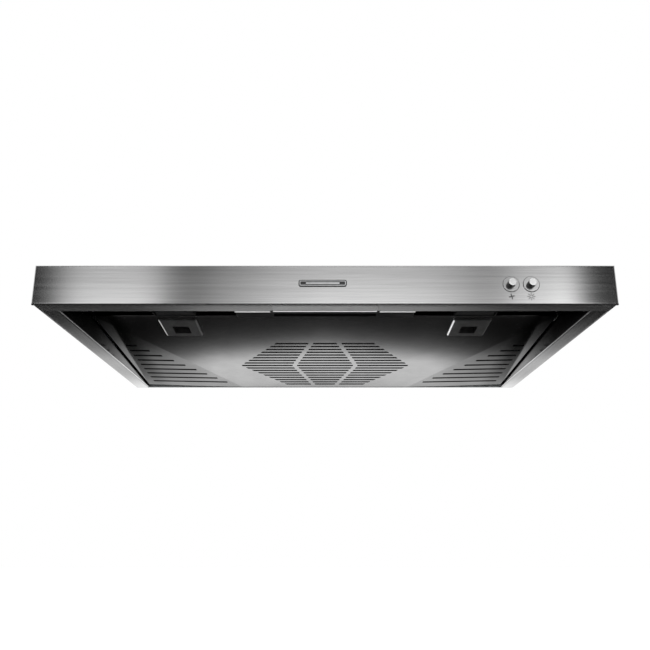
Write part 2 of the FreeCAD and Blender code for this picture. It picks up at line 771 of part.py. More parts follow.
def outlet_plenum():
    low = scroll_floor_z - sheet
    high = ceiling_z - thin_sheet
    outer = box(-plenum_half, plenum_half, plenum_front_y, back_inner_y - thin_sheet, low, high)
    hollow = box(-plenum_half + sheet, plenum_half - sheet, plenum_front_y + sheet, back_inner_y,
                 low + sheet, high + 1)
    inlet = box(outlet_left_x, outlet_right_x, plenum_front_y - 1, plenum_front_y + 2,
                low + sheet, scroll_top_z)
    return outer.cut([hollow, inlet])


def duct_collar():
    half_x = duct_width / 2
    y0 = duct_y - duct_depth / 2
    y1 = duct_y + duct_depth / 2
    tube = prism_z(rectangle(-half_x, half_x, y0, y1), [0] * 4, ceiling_z - thin_sheet, collar_height)
    flange = box(-plenum_half, plenum_half, plenum_front_y, back_inner_y - thin_sheet,
                 ceiling_z - thin_sheet, ceiling_z)
    inside = box(-half_x + thin_sheet, half_x - thin_sheet, y0 + thin_sheet, y1 - thin_sheet,
                 ceiling_z - 4, collar_height + 1)
    pivot = rod(pin_radius + pin_play, V(-half_x - 1, flap_hinge_y, flap_hinge_z),
                V(half_x + 1, flap_hinge_y, flap_hinge_z))
    return tube.fuse(flange).cut([inside, pivot])


def damper_flap():
    half_x = duct_width / 2 - thin_sheet - 1.5
    far_y = duct_y + duct_depth / 2 - thin_sheet - 2.5
    leaf = box(-half_x, half_x, flap_hinge_y, far_y, flap_hinge_z - 0.4, flap_hinge_z + 0.4)
    lip = box(-half_x + 6, half_x - 6, far_y - 0.8, far_y, flap_hinge_z - 0.4, flap_hinge_z + 5)
    spine = rod(2.4, V(-half_x, flap_hinge_y, flap_hinge_z), V(half_x, flap_hinge_y, flap_hinge_z))
    reach = duct_width / 2
    pivot = rod(pin_radius, V(-reach, flap_hinge_y, flap_hinge_z), V(reach, flap_hinge_y, flap_hinge_z))
    return leaf.fuse([lip, spine, pivot]).removeSplitter()


# ---- supply -------------------------------------------------------------------------------------

def box_round_cable(half_x, half_y, z0, z1):
    return box(cable_x - half_x, cable_x + half_x, cable_y - half_y, cable_y + half_y, z0, z1)


def junction_box():
    outer = box_round_cable(junction_half_x, junction_half_y, junction_low_z, ceiling_z)
    inner = box_round_cable(junction_half_x - 1, junction_half_y - 1, junction_low_z - 1, ceiling_z + 1)
    hole_radius = lead_radius + 1
    lead_holes = [rod(hole_radius, V(cable_x + 30, cable_y, lead_z), V(cable_x + 50, cable_y, lead_z)),
                  rod(hole_radius, V(lead_x, cable_y - 20, lead_z), V(lead_x, cable_y - 40, lead_z))]
    return outer.cut([inner] + lead_holes)


def junction_box_cover():
    outer = box_round_cable(junction_half_x + 1, junction_half_y + 1, junction_low_z - 1, junction_low_z + 8)
    return outer.cut(box_round_cable(junction_half_x, junction_half_y, junction_low_z, junction_low_z + 9))


def terminal_block():
    y = cable_y - 18
    top = junction_low_z + 12
    base = box(cable_x - 24, cable_x + 12, y - 8, y + 8, junction_low_z, top)
    wells = [rod(2.5, V(x, y, top - 7), V(x, y, top + 1)) for x in (cable_x - 18, cable_x - 6, cable_x + 6)]
    return base.cut(wells)


def bent_lead(points, turn_radius):
    """Round lead along straight runs that are joined by tangent arcs."""
    edges = []
    start = points[0]
    for before, here, after in zip(points, points[1:], points[2:]):
        back = (before - here).normalize()
        ahead = (after - here).normalize()
        cut = turn_radius / math.tan(back.getAngle(ahead) / 2)
        first = here + back * cut
        last = here + ahead * cut
        reach = math.hypot(cut, turn_radius) - turn_radius
        middle = here + (back + ahead).normalize() * reach
        edges.append(Part.makeLine(start, first))
        edges.append(Part.Arc(first, middle, last).toShape())
        start = last
    edges.append(Part.makeLine(start, points[-1]))
    path = Part.Wire(edges)
    profile = Part.Wire(Part.makeCircle(lead_radius, points[0], points[1] - points[0]))
    return path.makePipeShell([profile], True, False)


def motor_lead():
    rise_x = cable_x + 85
    return bent_lead([V(cable_x + junction_half_x - 1, cable_y, lead_z), V(rise_x, cable_y, lead_z),
                      V(rise_x, motor_lead_y, lead_z), V(rise_x, motor_lead_y, motor_lead_z),
                      V(-motor_radius - pin_play, motor_lead_y, motor_lead_z)], 8)


def control_lead():
    front = -190.0
    low = baffle_z + thin_sheet + lead_radius
    return bent_lead([V(lead_x, cable_y - junction_half_y + 1, lead_z), V(lead_x, front, lead_z),
                      V(lead_x, front, low), V(driver_left_x, front, low)], 16)


# ---- grille panel -------------------------------------------------------------------------------

def facet(points):
    corners = [V(*p) for p in points]
    return Part.Face(Part.makePolygon(corners + corners[:1])).extrude(V(0, 0, sheet))


def between(first, last, share):
    return first + (last - first) * share


def hex_widths(along):
    """Half width of the hexagon and of its inner bars at a distance along the panel."""
    middle = hex_first + hex_pitch * (hex_rows - 1) / 2
    span = middle - hex_first
    share = abs(along - middle) / span
    end_half = hex_half_first if along < middle else hex_half_last
    return between(hex_half_middle, end_half, share), between(hex_bar_x_middle, hex_bar_x_end, share)


def slot_prism(corners, radius=1.2):
    points = [(x, panel_y(s)) for x, s in corners]
    return prism_z(points, [radius] * len(points), rim_z - 5, panel_front_z + 5)


def hexagon_slots():
    slots = []
    for row in range(hex_rows):
        low = hex_first + row * hex_pitch - hex_slot / 2
        high = low + hex_slot
        half_low, bar_low = hex_widths(low)
        half_high, bar_high = hex_widths(high)
        near_low = bar_low - hex_bar / 2
        near_high = bar_high - hex_bar / 2
        slots.append(slot_prism([(-near_low, low), (near_low, low), (near_high, high),
                                 (-near_high, high)]))
        side = slot_prism([(bar_low + hex_bar / 2, low), (half_low, low), (half_high, high),
                           (bar_high + hex_bar / 2, high)])
        slots += [side, mirrored(side)]
    return slots


def corner_slots():
    slots = []
    for row in range(corner_rows):
        low = corner_first + row * corner_pitch - corner_slot / 2
        inner = between(corner_inner_first, corner_inner_last, row / (corner_rows - 1))
        slot = slot_prism([(inner, low), (corner_outer_x, low), (corner_outer_x, low + corner_slot),
                           (inner, low + corner_slot)])
        slots += [slot, mirrored(slot)]
    return slots


def grille_panel():
    outer_rear_z = panel_rear_z + corner_lift
    centre = facet([(-panel_half, panel_front_y, panel_front_z),
                    (panel_half, panel_front_y, panel_front_z),
                    (crease_rear_x, panel_rear_y, panel_rear_z),
                    (-crease_rear_x, panel_rear_y, panel_rear_z)])
    corner = facet([(panel_half, panel_front_y, panel_front_z), (panel_half, panel_rear_y, outer_rear_z),
                    (crease_rear_x, panel_rear_y, panel_rear_z)])
    lip_end_y = panel_rear_y - 12
    lip_share = (lip_end_y - panel_front_y) / (panel_rear_y - panel_front_y)
    lip_end_z = between(panel_front_z, outer_rear_z, lip_share)
    lip_points = [(panel_front_y, panel_front_z), (lip_end_y, lip_end_z),
                  (lip_end_y - 6, lip_end_z + panel_lip), (panel_front_y, panel_front_z + panel_lip)]
    side_lip = prism_x(lip_points, [0] * 4, panel_half - sheet, panel_half)
    front_lip = box(-panel_half, panel_half, panel_front_y, panel_front_y + sheet,
                    panel_front_z, panel_front_z + panel_lip)
    panel = centre.fuse([corner, mirrored(corner), side_lip, mirrored(side_lip), front_lip]).removeSplitter()
    rolled = [e for e in panel.Edges if e.BoundBox.XLength > 600 and e.BoundBox.YMax < panel_front_y + 0.01
              and e.BoundBox.ZMax < panel_front_z + 0.01]
    panel = panel.makeFillet(1.8, rolled)
    window_half = recess_size / 2 + 2.5
    window = on_panel(box(latch_x - window_half, latch_x + window_half, recess_start - 2.3,
                          recess_start + recess_size + latch_travel + 2.2, -2, 4))
    tongue_slot = on_panel(box(latch_x - latch_width / 2 + 0.2, latch_x + latch_width / 2 - 0.2, -3, 4,
                               panel_skin, panel_skin + 3.1))
    cuts = hexagon_slots() + corner_slots() + [window, mirrored(window), tongue_slot, mirrored(tongue_slot)]
    return panel.cut(cuts)


def filter_opening():
    return (-filter_half + filter_border, filter_half - filter_border,
            filter_start + filter_border, filter_end - filter_border)


def filter_frame():
    low = filter_gap + panel_skin
    outer = box(-filter_half, filter_half, filter_start, filter_end, low, low + filter_thick)
    inner = box(*filter_opening(), low - 1, low + filter_thick + 1)
    return on_panel(outer.cut(inner))


def filter_mesh():
    low = filter_gap + panel_skin + 1
    return on_panel(box(*filter_opening(), low, low + filter_thick - 2))


def filter_clips():
    """Z shaped clips on the panel that press the filter frame down at its front and rear edges."""
    front = [filter_clip(x, filter_start, -1, 13.0) for x in filter_clip_front_x]
    rear = [filter_clip(x, filter_end, 1, 9.0) for x in filter_clip_rear_x]
    return Part.makeCompound(front + rear)


def filter_clip(x, edge, outward, foot_length):
    """One clip at an edge of the filter; outward is the way its foot points along the panel."""
    x0 = x - filter_clip_half
    x1 = x + filter_clip_half
    low = panel_skin
    seat = low + filter_gap + filter_thick
    outer = edge + outward * sheet
    foot = box(x0, x1, *sorted((edge, edge + outward * foot_length)), low, low + sheet)
    riser = box(x0, x1, *sorted((edge, outer)), low, seat + sheet)
    hook = box(x0, x1, *sorted((edge - outward * 5, outer)), seat, seat + sheet)
    return on_panel(foot.fuse([riser, hook]).removeSplitter())


# ---- latches, made about x = 0 and moved to their side ------------------------------------------

def at_latch(shape, side):
    placed = on_panel(shape)
    placed.translate(V(side * latch_x, 0, 0))
    return placed


def latch_handle(side):
    half = latch_width / 2
    end = latch_start + latch_length
    plate = prism_z(rectangle(-half, half, latch_start, end), [3.0] * 4, handle_low, handle_high)
    rim = [e for e in plate.Edges if e.BoundBox.ZMax < handle_low + 1e-4]
    plate = plate.makeChamfer(1.7, rim)
    recess_half = recess_size / 2
    recess_end = recess_start + recess_size
    cup = prism_z(rectangle(-recess_half - 1.5, recess_half + 1.5, recess_start - 1.5, recess_end + 1.5),
                  [3.0] * 4, handle_high - 0.1, bolt_high + 4.5)
    hollow = prism_z(rectangle(-recess_half, recess_half, recess_start, recess_end), [1.5] * 4,
                     handle_low - 1, bolt_high + 3.0)
    return at_latch(plate.fuse(cup).cut(hollow), side)


def latch_bolt(side):
    half = latch_width / 2 - 0.5
    plate = box(-half, half, -tongue_reach, spring_start, bolt_low, bolt_high)
    nose = [e for e in plate.Edges if e.BoundBox.YMax < -tongue_reach + 0.1 and e.BoundBox.XLength > 5]
    plate = plate.makeChamfer(0.8, nose)
    window_half = recess_size / 2 + 1.5
    window_end = recess_start + recess_size + 1.5
    window = prism_z(rectangle(-window_half, window_half, recess_start - 1.5, window_end),
                     [3.0] * 4, bolt_low - 1, bolt_high + 1)
    post = rod(post_radius, V(0, spring_start, spring_axis), V(0, spring_start + post_length, spring_axis))
    heel = box(-6, 6, heel_start, spring_start, bolt_low, spring_axis + 3)
    return at_latch(plate.cut(window).fuse([heel, post]), side)


def latch_guide(side):
    half = latch_width / 2 - 0.4
    outer = half + guide_rail
    rail_high = bolt_high + 1.6
    rail_end = guide_end + 2
    web = box(half, outer, 3, rail_end, panel_skin, rail_high)
    cap = box(half - 3, outer, 3, rail_end, bolt_high + 0.1, rail_high)
    rails = [web, mirrored(web), cap, mirrored(cap)]
    end_wall = box(-outer, outer, guide_end, guide_end + 3, panel_skin, spring_axis + 4.5)
    post = rod(post_radius, V(0, guide_end - post_length, spring_axis), V(0, guide_end, spring_axis))
    return at_latch(end_wall.fuse(rails + [post]).removeSplitter(), side)


def latch_spring(side):
    """Compression spring between the bolt's heel and the guide's end wall."""
    helix = Part.makeHelix(spring_pitch, spring_length - 2 * spring_wire, spring_radius)
    profile = Part.Wire(Part.makeCircle(spring_wire, V(spring_radius, 0, 0), V(0, 1, 0)))
    coil = Part.Wire(helix.Edges).makePipeShell([profile], True, True)
    coil.rotate(V(0, 0, 0), V(1, 0, 0), -90)
    coil.translate(V(0, spring_start + spring_wire, spring_axis))
    return at_latch(coil, side)


def latch_strikes():
    """Brackets under the baffle whose cheeks stand on both sides of each tongue."""
    half = latch_width / 2 + 0.6
    seat = baffle_z - 1.5
    x0 = latch_x - half - 2
    x1 = latch_x + half + 2
    plate = box(x0, x1, strike_front_y, strike_rear_y, seat, baffle_z)
    cheeks = [box(x, x + 2, strike_front_y, strike_rear_y, baffle_z - strike_drop, seat)
              for x in (x0, x1 - 2)]
    return pair(plate.fuse(cheeks).removeSplitter())


def panel_bumpers():
    y = panel_front_y + sheet / 2
    low = panel_front_z + panel_lip
    pads = [rod(bumper_radius, V(x, y, low), V(x, y, baffle_z)) for x in bumper_x]
    return Part.makeCompound(pads)


# ---- hinges -------------------------------------------------------------------------------------

def pin_hole(x0, x1):
    return rod(pin_radius + pin_play, V(x0 - 1, hinge_y, hinge_z), V(x1 + 1, hinge_y, hinge_z))


def knuckle(x0, x1):
    barrel = rod(knuckle_radius, V(x0, hinge_y, hinge_z), V(x1, hinge_y, hinge_z))
    return barrel.cut(pin_hole(x0, x1))


def hinge_brackets():
    x0 = hinge_x - bracket_half
    x1 = hinge_x + bracket_half
    gap_half = leaf_half + 0.2
    arm_path = [(hinge_y + 0.6, hinge_z + 2.5), (hinge_y + 0.6, hinge_shelf_z),
                (back_inner_y, hinge_shelf_z), (back_inner_y, hinge_shelf_z + 18)]
    strap = prism_x(*folded_outline(arm_path, sheet), x0, x1)
    gap = box(hinge_x - gap_half, hinge_x + gap_half, hinge_y - 5, hinge_y + 3, hinge_z, hinge_shelf_z - 3)
    holes = [screw_hole_y(x, back_inner_y, hinge_shelf_z + 9) for x in hinge_screw_x]
    knuckles = [knuckle(x0, hinge_x - gap_half), knuckle(hinge_x + gap_half, x1)]
    return pair(strap.cut([gap] + holes).fuse(knuckles).removeSplitter())


def hinge_screws():
    seat = V(0, back_inner_y - sheet, hinge_shelf_z + 9)
    screws = [pan_screw(seat + V(x, 0, 0), V(0, 1, 0), length=sheet) for x in hinge_screw_x]
    return pair(Part.makeCompound(screws))


def hinge_pins():
    reach = bracket_half + 1
    return pair(rod(pin_radius, V(hinge_x - reach, hinge_y, hinge_z), V(hinge_x + reach, hinge_y, hinge_z)))


def hinge_leaves():
    x0 = hinge_x - leaf_half
    x1 = hinge_x + leaf_half
    end = (hinge_y - panel_front_y) / math.cos(panel_slope)
    leaf = on_panel(box(x0, x1, end - 24, end, panel_skin, panel_skin + sheet))
    web = box(x0, x1, hinge_y - knuckle_radius, hinge_y, hinge_z - knuckle_radius - 0.4, hinge_z)
    return pair(leaf.fuse([web, knuckle(x0, x1)]).cut(pin_hole(x0, x1)).removeSplitter())


# ---- write every piece --------------------------------------------------------------------------

os.makedirs("parts", exist_ok=True)

save("canopy_shell", canopy_shell())
right_side = side_panel()
save("side_panel_right", right_side)
save("side_panel_left", mirrored(right_side))
save("back_panel", back_panel())
save("rear_knockout_plate", rear_knockout_plate())
save("knockout_screws", knockout_screws())
save("front_fascia", front_fascia())
save("fascia_weld_nuts", fascia_weld_nuts())
save("fascia_screws", fascia_screws())
save("nameplate", nameplate())
save("nameplate_trim", nameplate_trim())
save("front_baffle", front_baffle())
save("lamp_housing", lamp_housing())
save("lamp_lens", lamp_lens())
save("led_board", led_board())
save("led_driver", led_driver())
save("switch_bracket", switch_bracket())
for name, x in (("fan", fan_button_x), ("light", light_button_x)):
    save(name + "_button_bezel", button_bezel(x))
    save(name + "_button_cap", button_cap(x))
    save(name + "_switch", switch_body(x))
save("blower_top_plate", blower_top_plate())
save("blower_scroll", blower_scroll())
save("blower_screws", blower_screws())
save("inlet_ring", inlet_ring())
save("impeller", impeller())
save("impeller_nut", impeller_nut())
save("motor", motor())
save("motor_shaft", motor_shaft())
save("capacitor", capacitor())
save("capacitor_clip", capacitor_clip())
save("outlet_plenum", outlet_plenum())
save("duct_collar", duct_collar())
save("damper_flap", damper_flap())
save("junction_box", junction_box())
save("junction_box_cover", junction_box_cover())
save("terminal_block", terminal_block())
save("motor_lead", motor_lead())
save("control_lead", control_lead())
save("grille_panel", grille_panel())
save("filter_frame", filter_frame())
save("filter_mesh", filter_mesh())
save("filter_clips", filter_clips())
for name, side in (("left", -1), ("right", 1)):
    save("latch_handle_" + name, latch_handle(side))
    save("latch_bolt_" + name, latch_bolt(side))
    save("latch_guide_" + name, latch_guide(side))
    save("latch_spring_" + name, latch_spring(side))
save("latch_strikes", latch_strikes())
save("panel_bumpers", panel_bumpers())
save("hinge_brackets", hinge_brackets())
save("hinge_screws", hinge_screws())
save("hinge_pins", hinge_pins())
save("hinge_leaves", hinge_leaves())
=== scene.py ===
import math

import bmesh
import bpy
from mathutils import Matrix, Vector


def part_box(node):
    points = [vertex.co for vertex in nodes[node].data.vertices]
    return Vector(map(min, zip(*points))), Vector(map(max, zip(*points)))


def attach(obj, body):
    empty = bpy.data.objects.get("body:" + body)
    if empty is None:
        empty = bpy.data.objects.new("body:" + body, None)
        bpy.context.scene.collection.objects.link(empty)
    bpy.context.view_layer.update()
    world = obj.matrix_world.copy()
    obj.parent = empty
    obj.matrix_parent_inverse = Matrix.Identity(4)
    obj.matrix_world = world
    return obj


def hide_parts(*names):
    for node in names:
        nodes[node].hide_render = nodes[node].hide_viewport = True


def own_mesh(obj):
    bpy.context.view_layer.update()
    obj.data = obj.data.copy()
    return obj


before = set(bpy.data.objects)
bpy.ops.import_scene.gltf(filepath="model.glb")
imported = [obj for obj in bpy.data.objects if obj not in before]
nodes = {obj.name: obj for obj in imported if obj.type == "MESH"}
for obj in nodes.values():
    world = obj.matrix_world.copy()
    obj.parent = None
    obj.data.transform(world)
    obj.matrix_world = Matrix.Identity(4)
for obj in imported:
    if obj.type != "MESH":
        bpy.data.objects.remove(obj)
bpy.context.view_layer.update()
print("frame loaded:", len(nodes), "nodes")


# small tools, all lengths in metres

rangeInputs = ("From Min", "From Max", "To Min", "To Max")
firstColour, secondColour, mixedColour = 6, 7, 2   # a Mix node's sockets when it mixes colours
firstValue, secondValue = 2, 3                     # and when it mixes values
noiseSpan = {"From Min": 0.3, "From Max": 0.7}     # noise gathers round its middle, so only that part is used
fineDetail, softDetail = 3.0, 2.0
noiseRoughness = 0.55


def hexToLinear(code):
    channels = [int(code[i:i + 2], 16) / 255 for i in (1, 3, 5)]
    linear = [c / 12.92 if c <= 0.04045 else ((c + 0.055) / 1.055) ** 2.4 for c in channels]
    return (*linear, 1.0)


def addNode(tree, kind, settings, links):
    node = tree.nodes.new(kind)
    for name, value in settings.items():
        if isinstance(name, int) or name in node.inputs:
            node.inputs[name].default_value = value
        else:
            setattr(node, name, value)
    for name, source in links.items():
        tree.links.new(source, node.inputs[name])
    return node


def newMaterial(name):
    material = bpy.data.materials.new(name)
    material.use_nodes = True
    material.node_tree.nodes.clear()
    return material, material.node_tree


def objectAxes(tree):  # the X, Y and Z of each point of the piece
    place = addNode(tree, "ShaderNodeTexCoord", {}, {})
    return addNode(tree, "ShaderNodeSeparateXYZ", {}, {"Vector": place.outputs["Object"]})


def noiseAt(tree, sizes, detail):  # sizes are the length of one feature along X, Y and Z
    place = addNode(tree, "ShaderNodeTexCoord", {}, {})
    scaled = addNode(tree, "ShaderNodeMapping", {"Scale": [1 / s for s in sizes]},
                     {"Vector": place.outputs["Object"]})
    return addNode(tree, "ShaderNodeTexNoise", {"Scale": 1.0, "Detail": detail, "Roughness": noiseRoughness},
                   {"Vector": scaled.outputs[0]})


def tonedBy(tree, noise, look):  # a colour between the look's dark and light, as the noise goes
    share = addNode(tree, "ShaderNodeMapRange", noiseSpan, {"Value": noise})
    return addNode(tree, "ShaderNodeMix", {"data_type": "RGBA", firstColour: hexToLinear(look["dark"]),
                                           secondColour: hexToLinear(look["light"])}, {0: share.outputs[0]})


def meshObject(name, bm, material):
    mesh = bpy.data.meshes.new(name)
    bm.to_mesh(mesh)
    bm.free()
    mesh.materials.append(material)
    made = bpy.data.objects.new(name, mesh)
    bpy.context.scene.collection.objects.link(made)
    return made


# camera: just in front of the hood and below it, looking a little up

view = {"place": (0.0, -1.0534, -0.4122), "tiltDegrees": 103.387, "lens": 34.09, "sensor": 36.0, "shift": 0.10,
        "clipEnd": 60.0}

camera = bpy.data.objects.new("camera", bpy.data.cameras.new("camera"))
bpy.context.scene.collection.objects.link(camera)
camera.location = view["place"]
camera.rotation_euler = (math.radians(view["tiltDegrees"]), 0.0, 0.0)
camera.data.lens = view["lens"]
camera.data.sensor_width = view["sensor"]
camera.data.shift_y = view["shift"]
camera.data.clip_end = view["clipEnd"]
bpy.context.scene.camera = camera
bpy.context.scene.view_settings.view_transform = "Standard"
print("camera set")


# studio: pale floor, pale sky, a softbox, and cards of light that only shiny metal sees

studio = {
    "floorHeight": -0.9,
    "floorHalf": 9.0,
    "floorCuts": 4,
    "floorColour": "#f4f4f4",
    "floorRoughness": (0.85, 0.95),
    "floorGrain": 0.004,
    "skyLow": 0.55,       # sky light at the horizon
    "skyHigh": 1.45,      # sky light overhead
    "skyColour": "#ffffff",
    "backdrop": 1.0,
}

softbox = {"place": (-1.2, -1.6, 2.6), "aim": (0.0, 0.0, -0.1), "size": 1.8, "watts": 60.0}

frontCard = {
    "y": -2.1,
    "halfWidth": 2.4,
    "low": -0.85,
    "high": 2.6,
    "range": 1.5,                       # the stops run from -range to +range in x
    "fade": (0.50, 0.74, 1.35, 0.45),   # from this height to that one the level falls from 1.35 to 0.45
    "stops": [(-1.27, 0.04), (-1.235, 0.11), (-1.19, 0.36), (-1.15, 0.72), (-1.08, 1.1), (-0.99, 1.2),
              (-0.82, 1.2), (-0.75, 0.98), (-0.68, 0.49), (-0.62, 0.33), (-0.55, 0.36), (-0.46, 0.55),
              (-0.33, 0.75), (-0.2, 1.0), (0.0, 1.22), (0.2, 1.24), (0.33, 1.18), (0.46, 1.08), (0.6, 0.85),
              (0.68, 0.67), (0.77, 0.68), (0.86, 1.1), (0.99, 1.37), (1.04, 1.62), (1.08, 1.47), (1.126, 0.68),
              (1.17, 0.15), (1.21, 0.055), (1.26, 0.055)],
}

rearCard = {
    "y": 0.6,
    "halfWidth": 1.7,
    "low": -0.88,
    "high": 0.35,
    "range": (-0.88, -0.1),   # the stops run between these heights
    "stops": [(-0.88, 0.5), (-0.76, 0.3), (-0.68, 0.1), (-0.62, 0.01), (-0.58, 0.008), (-0.55, 0.02),
              (-0.536, 0.026), (-0.516, 0.05), (-0.496, 0.11), (-0.482, 0.21), (-0.47, 0.38), (-0.456, 0.74),
              (-0.44, 0.9), (-0.42, 0.9), (-0.4, 0.86), (-0.375, 0.82), (-0.358, 0.72), (-0.335, 0.5),
              (-0.31, 0.6), (-0.28, 1.2), (-0.1, 1.45)],
    "fan": 0.1,                          # how much higher the light starts for each metre to either side
    "lean": 0.003,                       # and for each metre to the right
    "sides": (0.31, 0.54, 1.0, 0.28),    # from this x to that one the level falls from 1 to 0.28
    "fold": (0.292, 0.325, 1.0, 0.72),   # and once more across a slanting line, which the panel's corners mirror
    "foldLine": (-0.363, 1.95),          # that line: its height at the side, and x against height
    "sidesTop": (-0.34, -0.3, 0.0, 1.0),   # both end between these heights
}

floorFlag = {"z": -0.89, "halfWidth": 1.7, "near": -2.05, "level": 0.03}


def levelRamp(tree, stops, low, high, source):
    share = addNode(tree, "ShaderNodeMapRange", {"From Min": low, "From Max": high}, {"Value": source})
    ramp = addNode(tree, "ShaderNodeValToRGB", {}, {"Fac": share.outputs[0]})
    points = ramp.color_ramp.elements
    points.remove(points[1])
    for place, level in stops:
        point = points.new((place - low) / (high - low))
        point.color = (level, level, level, 1.0)
    points.remove(points[0])
    return ramp


def lightCard(name, corners, material):
    bm = bmesh.new()
    bm.faces.new([bm.verts.new(c) for c in corners])
    card = meshObject(name, bm, material)
    card.visible_camera = False
    card.visible_diffuse = False
    card.visible_shadow = False
    card.visible_transmission = False


def makeFrontCard():
    material, tree = newMaterial("striped light card")
    axes = objectAxes(tree)
    ramp = levelRamp(tree, frontCard["stops"], -frontCard["range"], frontCard["range"], axes.outputs["X"])
    fade = addNode(tree, "ShaderNodeMapRange", dict(zip(rangeInputs, frontCard["fade"])),
                   {"Value": axes.outputs["Z"]})
    glow = addNode(tree, "ShaderNodeEmission", {}, {"Color": ramp.outputs["Color"], "Strength": fade.outputs[0]})
    addNode(tree, "ShaderNodeOutputMaterial", {}, {"Surface": glow.outputs[0]})
    half, y = frontCard["halfWidth"], frontCard["y"]
    low, high = frontCard["low"], frontCard["high"]
    lightCard("frontCard", [(-half, y, low), (-half, y, high), (half, y, high), (half, y, low)], material)


def makeRearCard():
    material, tree = newMaterial("graded rear card")
    axes = objectAxes(tree)
    side = addNode(tree, "ShaderNodeMath", {"operation": "ABSOLUTE"}, {0: axes.outputs["X"]})
    outward = addNode(tree, "ShaderNodeMath", {"operation": "MULTIPLY", 1: -rearCard["fan"]},
                      {0: side.outputs[0]})
    right = addNode(tree, "ShaderNodeMath", {"operation": "MULTIPLY", 1: -rearCard["lean"]},
                    {0: axes.outputs["X"]})
    drop = addNode(tree, "ShaderNodeMath", {"operation": "ADD"}, {0: outward.outputs[0], 1: right.outputs[0]})
    height = addNode(tree, "ShaderNodeMath", {"operation": "ADD"}, {0: axes.outputs["Z"], 1: drop.outputs[0]})
    ramp = levelRamp(tree, rearCard["stops"], *rearCard["range"], height.outputs[0])

    level = addNode(tree, "ShaderNodeMapRange", dict(zip(rangeInputs, rearCard["sides"])),
                    {"Value": side.outputs[0]})
    top = addNode(tree, "ShaderNodeMapRange", dict(zip(rangeInputs, rearCard["sidesTop"])),
                  {"Value": axes.outputs["Z"]})
    lineHeight, lineSlant = rearCard["foldLine"]
    below = addNode(tree, "ShaderNodeMath", {"operation": "SUBTRACT", 1: lineHeight}, {0: axes.outputs["Z"]})
    slant = addNode(tree, "ShaderNodeMath", {"operation": "MULTIPLY_ADD", 1: lineSlant},
                    {0: below.outputs[0], 2: side.outputs[0]})
    fold = addNode(tree, "ShaderNodeMapRange", dict(zip(rangeInputs, rearCard["fold"])),
                   {"Value": slant.outputs[0]})
    both = addNode(tree, "ShaderNodeMath", {"operation": "MULTIPLY"}, {0: level.outputs[0], 1: fold.outputs[0]})
    strength = addNode(tree, "ShaderNodeMix", {"data_type": "FLOAT", secondValue: 1.0},
                       {0: top.outputs[0], firstValue: both.outputs[0]})
    glow = addNode(tree, "ShaderNodeEmission", {},
                   {"Color": ramp.outputs["Color"], "Strength": strength.outputs[0]})
    addNode(tree, "ShaderNodeOutputMaterial", {}, {"Surface": glow.outputs[0]})
    half, y = rearCard["halfWidth"], rearCard["y"]
    low, high = rearCard["low"], rearCard["high"]
    lightCard("rearCard", [(-half, y, low), (half, y, low), (half, y, high), (-half, y, high)], material)


def makeFloorFlag():  # keeps the pale floor out of the steel just above it
    material, tree = newMaterial("black floor flag")
    level = floorFlag["level"]
    glow = addNode(tree, "ShaderNodeEmission", {"Color": (level, level, level, 1.0)}, {})
    addNode(tree, "ShaderNodeOutputMaterial", {}, {"Surface": glow.outputs[0]})
    half, z = floorFlag["halfWidth"], floorFlag["z"]
    near, far = floorFlag["near"], rearCard["y"]
    lightCard("floorFlag", [(-half, near, z), (half, near, z), (half, far, z), (-half, far, z)], material)


def makeFloor():  # matt painted floor: no reflection, only a soft shadow
    material, tree = newMaterial("pale studio floor")
    grain = noiseAt(tree, [studio["floorGrain"]] * 3, softDetail)
    smooth, dull = studio["floorRoughness"]
    rough = addNode(tree, "ShaderNodeMapRange", {**noiseSpan, "To Min": smooth, "To Max": dull},
                    {"Value": grain.outputs["Fac"]})
    shader = addNode(tree, "ShaderNodeBsdfPrincipled", {"Base Color": hexToLinear(studio["floorColour"])},
                     {"Roughness": rough.outputs[0]})
    addNode(tree, "ShaderNodeOutputMaterial", {}, {"Surface": shader.outputs[0]})
    cuts = studio["floorCuts"]
    bm = bmesh.new()
    bmesh.ops.create_grid(bm, x_segments=cuts, y_segments=cuts, size=studio["floorHalf"],
                          matrix=Matrix.Translation((0.0, 0.0, studio["floorHeight"])))
    meshObject("studioFloor", bm, material)


def makeSky():
    world = bpy.data.worlds.new("studio sky")
    world.use_nodes = True
    tree = world.node_tree
    tree.nodes.clear()
    white = hexToLinear(studio["skyColour"])
    place = addNode(tree, "ShaderNodeTexCoord", {}, {})
    axes = addNode(tree, "ShaderNodeSeparateXYZ", {}, {"Vector": place.outputs["Generated"]})
    level = addNode(tree, "ShaderNodeMapRange", {"To Min": studio["skyLow"], "To Max": studio["skyHigh"]},
                    {"Value": axes.outputs["Z"]})
    light = addNode(tree, "ShaderNodeBackground", {"Color": white}, {"Strength": level.outputs[0]})
    seen = addNode(tree, "ShaderNodeBackground", {"Color": white, "Strength": studio["backdrop"]}, {})
    path = addNode(tree, "ShaderNodeLightPath", {}, {})
    mix = addNode(tree, "ShaderNodeMixShader", {}, {0: path.outputs["Is Camera Ray"], 1: light.outputs[0],
                                                    2: seen.outputs[0]})
    addNode(tree, "ShaderNodeOutputWorld", {}, {"Surface": mix.outputs[0]})
    bpy.context.scene.world = world


def makeSoftbox():
    lamp = bpy.data.lights.new("topSoftbox", "AREA")
    lamp.size = softbox["size"]
    lamp.energy = softbox["watts"]
    made = bpy.data.objects.new("topSoftbox", lamp)
    bpy.context.scene.collection.objects.link(made)
    made.location = softbox["place"]
    toAim = Vector(softbox["aim"]) - Vector(softbox["place"])
    made.rotation_euler = toAim.to_track_quat("-Z", "Y").to_euler()
    made.visible_camera = False
    made.visible_glossy = False


makeSky()
makeFloor()
makeFrontCard()
makeRearCard()
makeFloorFlag()
makeSoftbox()
print("studio built")


